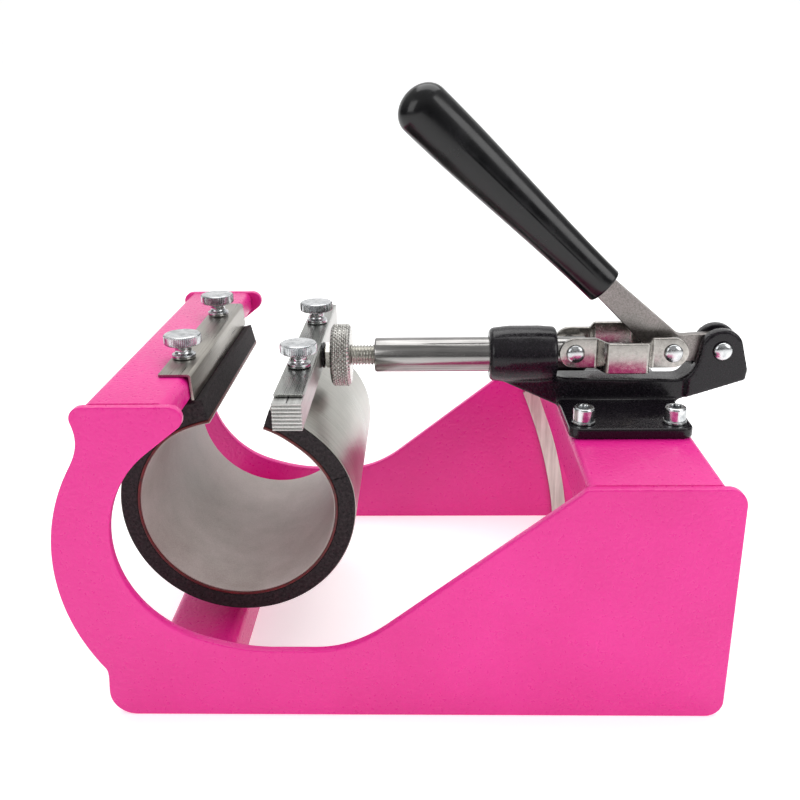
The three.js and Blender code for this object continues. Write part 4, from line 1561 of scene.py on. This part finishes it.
    def add_flange_fasteners(self) -> None:
        """Four cap screws with hexagonal sockets, their washers, and the nuts underneath."""
        for row in ("front", "rear"):
            for column in ("left", "right"):
                stem = f"{row}_{column}_flange"
                low, high = box_mm(f"{stem}_screw")
                centre = middle(f"{stem}_screw")
                top = high[2]
                head = (high[0] - low[0]) / 2
                foot = box_mm(f"{stem}_washer")[1][2]
                rows = profile((0, low[2]), (2.0, low[2]), (2.5, low[2] + 0.5), (2.5, foot),
                               (head - 0.2, foot), (head, foot + 0.3), (head, top - 1.2),
                               arc(head - 1.0, top - 1.0, 1.0, 0, 90, 5), (2.75, top),
                               (2.45, top - 0.4), (2.4, top - 2.6), (0, top - 3.0))
                angle = np.arange(72) / 72 * TAU
                socket = (np.arange(len(rows)) >= len(rows) - 3)[:, None]
                radius = rows[:, :1] * np.where(socket, hexagon_factor(angle)[None, :], 1.0)
                surface = wrapped(radius, rows[:, 1], angle, (centre[0], centre[1], 0), Axis.Z)
                fit(f"{stem}_cap_screw", surface, self.palette.chrome, "frame",
                    (f"{stem}_screw",))
                wlow, whigh = box_mm(f"{stem}_washer")
                outer = (whigh[0] - wlow[0]) / 2
                ring = profile((2.8, wlow[2]), (outer, wlow[2]), (outer, whigh[2] - 0.3),
                               (outer - 0.3, whigh[2]), (2.8, whigh[2]), (2.8, wlow[2]))
                washer = turned(ring, (centre[0], centre[1], 0), Axis.Z, 48)
                fit(f"{stem}_plain_washer", washer, self.palette.chrome, "frame",
                    (f"{stem}_washer",))
                dress(f"{stem}_nut", self.palette.zinc)

    def build(self) -> None:
        """Builds the clamp."""
        self.add_plunger()
        self.add_body()
        self.add_links()
        self.add_flange_fasteners()


# ------------------------------------------------------------------ handle


@dataclass
class Handle:
    """The flat lever with its dipped grip, and the link pin that rides with it."""

    palette: Palette
    arm_angle: float = 136.4
    crank: float = 23.5
    reach: float = 62.3
    grip_length: float = 126.0
    low_width: float = 18.0
    high_width: float = 24.8
    flatness: float = 0.74
    arm_width: float = 11.2
    arm_in_grip: float = 60.0
    hub: float = 7.0
    squareness: float = 1.06
    mould_line: float = 0.16

    def axes(self) -> tuple[Points, Points, Points]:
        """The arm's own axes in the XZ plane.

        Returns:
            The fixed pivot, the direction along the arm, and the direction across it.
        """
        pivot = middle("pivot_pin")[[0, 2]]
        angle = math.radians(self.arm_angle)
        along = np.array([math.cos(angle), math.sin(angle)])
        return pivot, along, np.array([along[1], -along[0]])

    def grip_foot(self) -> Points:
        """The grip's lower end."""
        return self.axes()[0] + np.array([-self.reach * 0.883, self.reach * 0.469])

    def lever_outline(self) -> Points:
        """The lever from the side: round eye on the pivot, crank, and the arm up into the grip.

        Returns:
            The outline.
        """
        pivot, along, across = self.axes()
        foot = self.grip_foot()
        half = self.arm_width / 2
        px, pz = pivot
        crank, hub = self.crank, self.hub
        corners = [foot + along * a + across * s for a, s in (
            (0, half), (3, half - 1.2), (self.arm_in_grip, half - 1.2), (self.arm_in_grip, 1.2 - half),
            (3, 1.2 - half), (0, -half))]
        return outline(
            (px - crank, pz - hub), arc(px, pz, hub, -90, 90, 24),
            bezier((px - crank + 8.5, pz + hub - 0.8), (px - crank + 5.5, pz + hub - 1.2),
                   (px - crank + 3.6, pz + hub - 0.2), steps=6),
            np.array(corners),
            bezier((px - crank - 8.6, pz - 1.8), (px - crank - 5, pz - hub), (px - crank, pz - hub), steps=8),
        )

    def grip_surface(self) -> Surface:
        """The grip: flattened round sections along the arm, the width easing from the low end
        to the high one, closed by a dome, with a fine mould line on both flanks.

        Returns:
            The surface.
        """
        _, along, across = self.axes()
        foot = self.grip_foot()
        low, high = self.low_width / 2, self.high_width / 2
        cap = self.grip_length - high * 0.82
        at = np.linspace(0, 1, 40)
        swell = smooth_step(at)
        turn = np.linspace(0, math.pi / 2, 22)[1:]
        lip = np.linspace(0, math.pi / 2, 6)
        width = np.concatenate([[0, low * 0.55, low * 0.86], low - 0.9 + 0.9 * np.sin(lip),
                                (low + (high - low) * swell)[1:], high * np.cos(turn)])
        height = np.concatenate([[2.2, 2.2, 0.5], 1.1 - 1.1 * np.cos(lip),
                                 1.1 + (cap - 1.1) * at[1:],
                                 cap + (self.grip_length - cap) * np.sin(turn)])
        width[-1] = 0.0
        angle = np.arange(128) / 128 * TAU
        flank = np.exp(-((np.mod(angle, math.pi) - math.pi / 2) / 0.035) ** 2)
        body = np.clip(np.minimum(height - 4, 96 - height) / 8, 0, 1)[:, None]
        cosine, sine = np.cos(angle), np.sin(angle)
        shape_a = np.sign(cosine) * np.abs(cosine) ** (1 / self.squareness)
        shape_b = np.sign(sine) * np.abs(sine) ** (1 / self.squareness)
        a = width[:, None] * shape_a
        ridge = self.mould_line * body * flank * np.sign(sine)
        b = width[:, None] * shape_b * self.flatness + ridge
        rows = np.empty(a.shape + (3,))
        rows[..., 0] = foot[0] + along[0] * height[:, None] + across[0] * a
        rows[..., 1] = b
        rows[..., 2] = foot[1] + along[1] * height[:, None] + across[1] * a
        return loft(rows)

    def build(self) -> None:
        """Builds the lever, the grip and the link pin."""
        low, high = box_mm("handle_lever")
        fit("handle_lever_flat", slab(self.lever_outline(), low[1], high[1], 0.5), self.palette.lever,
            "handle", ("handle_lever",))
        fit("handle_grip_dipped", self.grip_surface(), self.palette.vinyl, "handle",
            ("handle_grip",), 45)
        dress("link_pin", self.palette.zinc)


# ------------------------------------------------------------------ studio


@dataclass
class Studio:
    """Pale floor with a swept back, soft lights and the camera."""

    lens: float = 41.85
    floor_glow: float = 0.45
    camera_place: Triple = (0.00146, -0.42665, 0.26716)
    pitch: float = 0.3517
    yaw: float = -0.0301
    roll: float = -0.0157
    aim_height: float = 0.09
    horizon: Triple = (0.16, 0.16, 0.165)
    bright_from: float = 0.6
    backdrop: float = 2.0
    sky_strength: float = 0.5

    def add_camera(self) -> None:
        """Aims the camera by pitch, yaw and roll."""
        level = math.cos(self.pitch)
        forward = Vector((math.sin(self.yaw) * level, math.cos(self.yaw) * level,
                          -math.sin(self.pitch)))
        right = Vector((math.cos(self.yaw), -math.sin(self.yaw), 0))
        up = right.cross(forward)
        tilted_right = right * math.cos(self.roll) + up * math.sin(self.roll)
        tilted_up = up * math.cos(self.roll) - right * math.sin(self.roll)
        data = bpy.data.cameras.new("camera")
        data.lens = self.lens
        data.sensor_width = 36
        data.clip_start, data.clip_end = 0.01, 50
        camera = bpy.data.objects.new("camera", data)
        bpy.context.scene.collection.objects.link(camera)
        matrix = Matrix((tilted_right, tilted_up, -forward)).transposed().to_4x4()
        matrix.translation = Vector(self.camera_place)
        camera.matrix_world = matrix
        bpy.context.scene.camera = camera

    def add_floor(self) -> None:
        """The floor: flat, then a quarter circle up into a wall behind."""
        bend = arc(2.4, 0.8, 0.8, -90, 0, 16)
        line = np.vstack([[-3.0, 0], bend, [3.2, 4.0]])
        across = np.array([-5.0, 5.0])
        rows = np.empty((len(line), 2, 3))
        rows[..., 0] = across
        rows[..., 1] = line[:, :1]
        rows[..., 2] = line[:, 1:] - 0.00015
        faces = [[2 * i, 2 * i + 1, 2 * i + 3, 2 * i + 2] for i in range(len(line) - 1)]
        mesh = bpy.data.meshes.new("floor")
        mesh.from_pydata(rows.reshape(-1, 3).tolist(), [], faces)
        mesh.shade_smooth()
        graph = Graph("studio_floor")
        grain = graph.noise(graph.place, 40.0, 2.0)
        colour = graph.blend(grain, (0.89, 0.89, 0.89), (0.91, 0.91, 0.91))
        graph.finish(colour, graph.ramp(grain, (0, 1), (0.8, 0.9)), graph.bump(grain, 0.02, 0.1))
        graph.set(Emission_Color=(1, 1, 1, 1), Emission_Strength=self.floor_glow)
        floor = as_object("floor", mesh, graph.material)

    def add_light(self, name: str, place: Triple, size: Pair, power: float) -> None:
        """A rectangular area light aimed at the middle of the press.

        Args:
            name: The light's name.
            place: Where it hangs, in metres.
            size: Its two sides in metres.
            power: Its power in watts.
        """
        data = bpy.data.lights.new(name, "AREA")
        data.shape = "RECTANGLE"
        data.size, data.size_y = size
        data.energy = power
        light = bpy.data.objects.new(name, data)
        bpy.context.scene.collection.objects.link(light)
        light.location = place
        aim = Vector((0, 0, self.aim_height)) - Vector(place)
        light.rotation_euler = aim.to_track_quat("-Z", "Y").to_euler()

    def add_world(self) -> None:
        """A sky that lights the metal from white overhead to dark at the horizon, and that is
        plain white where the camera sees it directly."""
        world = bpy.data.worlds.new("studio")
        world.use_nodes = True
        tree = world.node_tree
        place = tree.nodes.new("ShaderNodeTexCoord")
        split = tree.nodes.new("ShaderNodeSeparateXYZ")
        ramp = tree.nodes.new("ShaderNodeValToRGB")
        tree.links.new(place.outputs["Generated"], split.inputs[0])
        tree.links.new(split.outputs["Z"], ramp.inputs["Fac"])
        seen = tree.nodes.new("ShaderNodeLightPath")
        mix = tree.nodes.new("ShaderNodeMix")
        mix.data_type = "RGBA"
        mix.inputs[7].default_value = (self.backdrop,) * 3 + (1,)
        tree.links.new(seen.outputs["Is Camera Ray"], mix.inputs[0])
        tree.links.new(ramp.outputs["Color"], mix.inputs[6])
        tree.links.new(mix.outputs[2], tree.nodes["Background"].inputs["Color"])
        ramp.color_ramp.elements[0].position = 0.0
        ramp.color_ramp.elements[0].color = (*self.horizon, 1)
        ramp.color_ramp.elements[1].position = self.bright_from
        ramp.color_ramp.elements[1].color = (1, 1, 1, 1)
        tree.nodes["Background"].inputs["Strength"].default_value = self.sky_strength
        bpy.context.scene.world = world

    def build(self) -> None:
        """Builds the studio."""
        self.add_camera()
        self.add_floor()
        self.add_world()
        self.add_light("top_softbox", (0.1, 0.35, 1.5), (1.6, 1.2), 17)
        self.add_light("right_softbox", (1.2, -0.9, 0.9), (0.9, 0.9), 8)
        self.add_light("left_softbox", (-1.2, -1.0, 0.8), (0.8, 0.9), 5)
        bpy.context.scene.view_settings.view_transform = "Standard"


def main() -> None:
    """Builds the press from its frame outwards and sets it in the studio."""
    logging.basicConfig(level=logging.INFO, format="%(name)s %(message)s")
    Studio().build()
    palette = Palette()
    Cradle(palette).build()
    Heater(palette).build()
    HeaterBracket(palette).build()
    Jaw(palette).build()
    Spindle(palette).build()
    ToggleClamp(palette).build()
    Handle(palette).build()


if __name__ == "__main__":
    main()
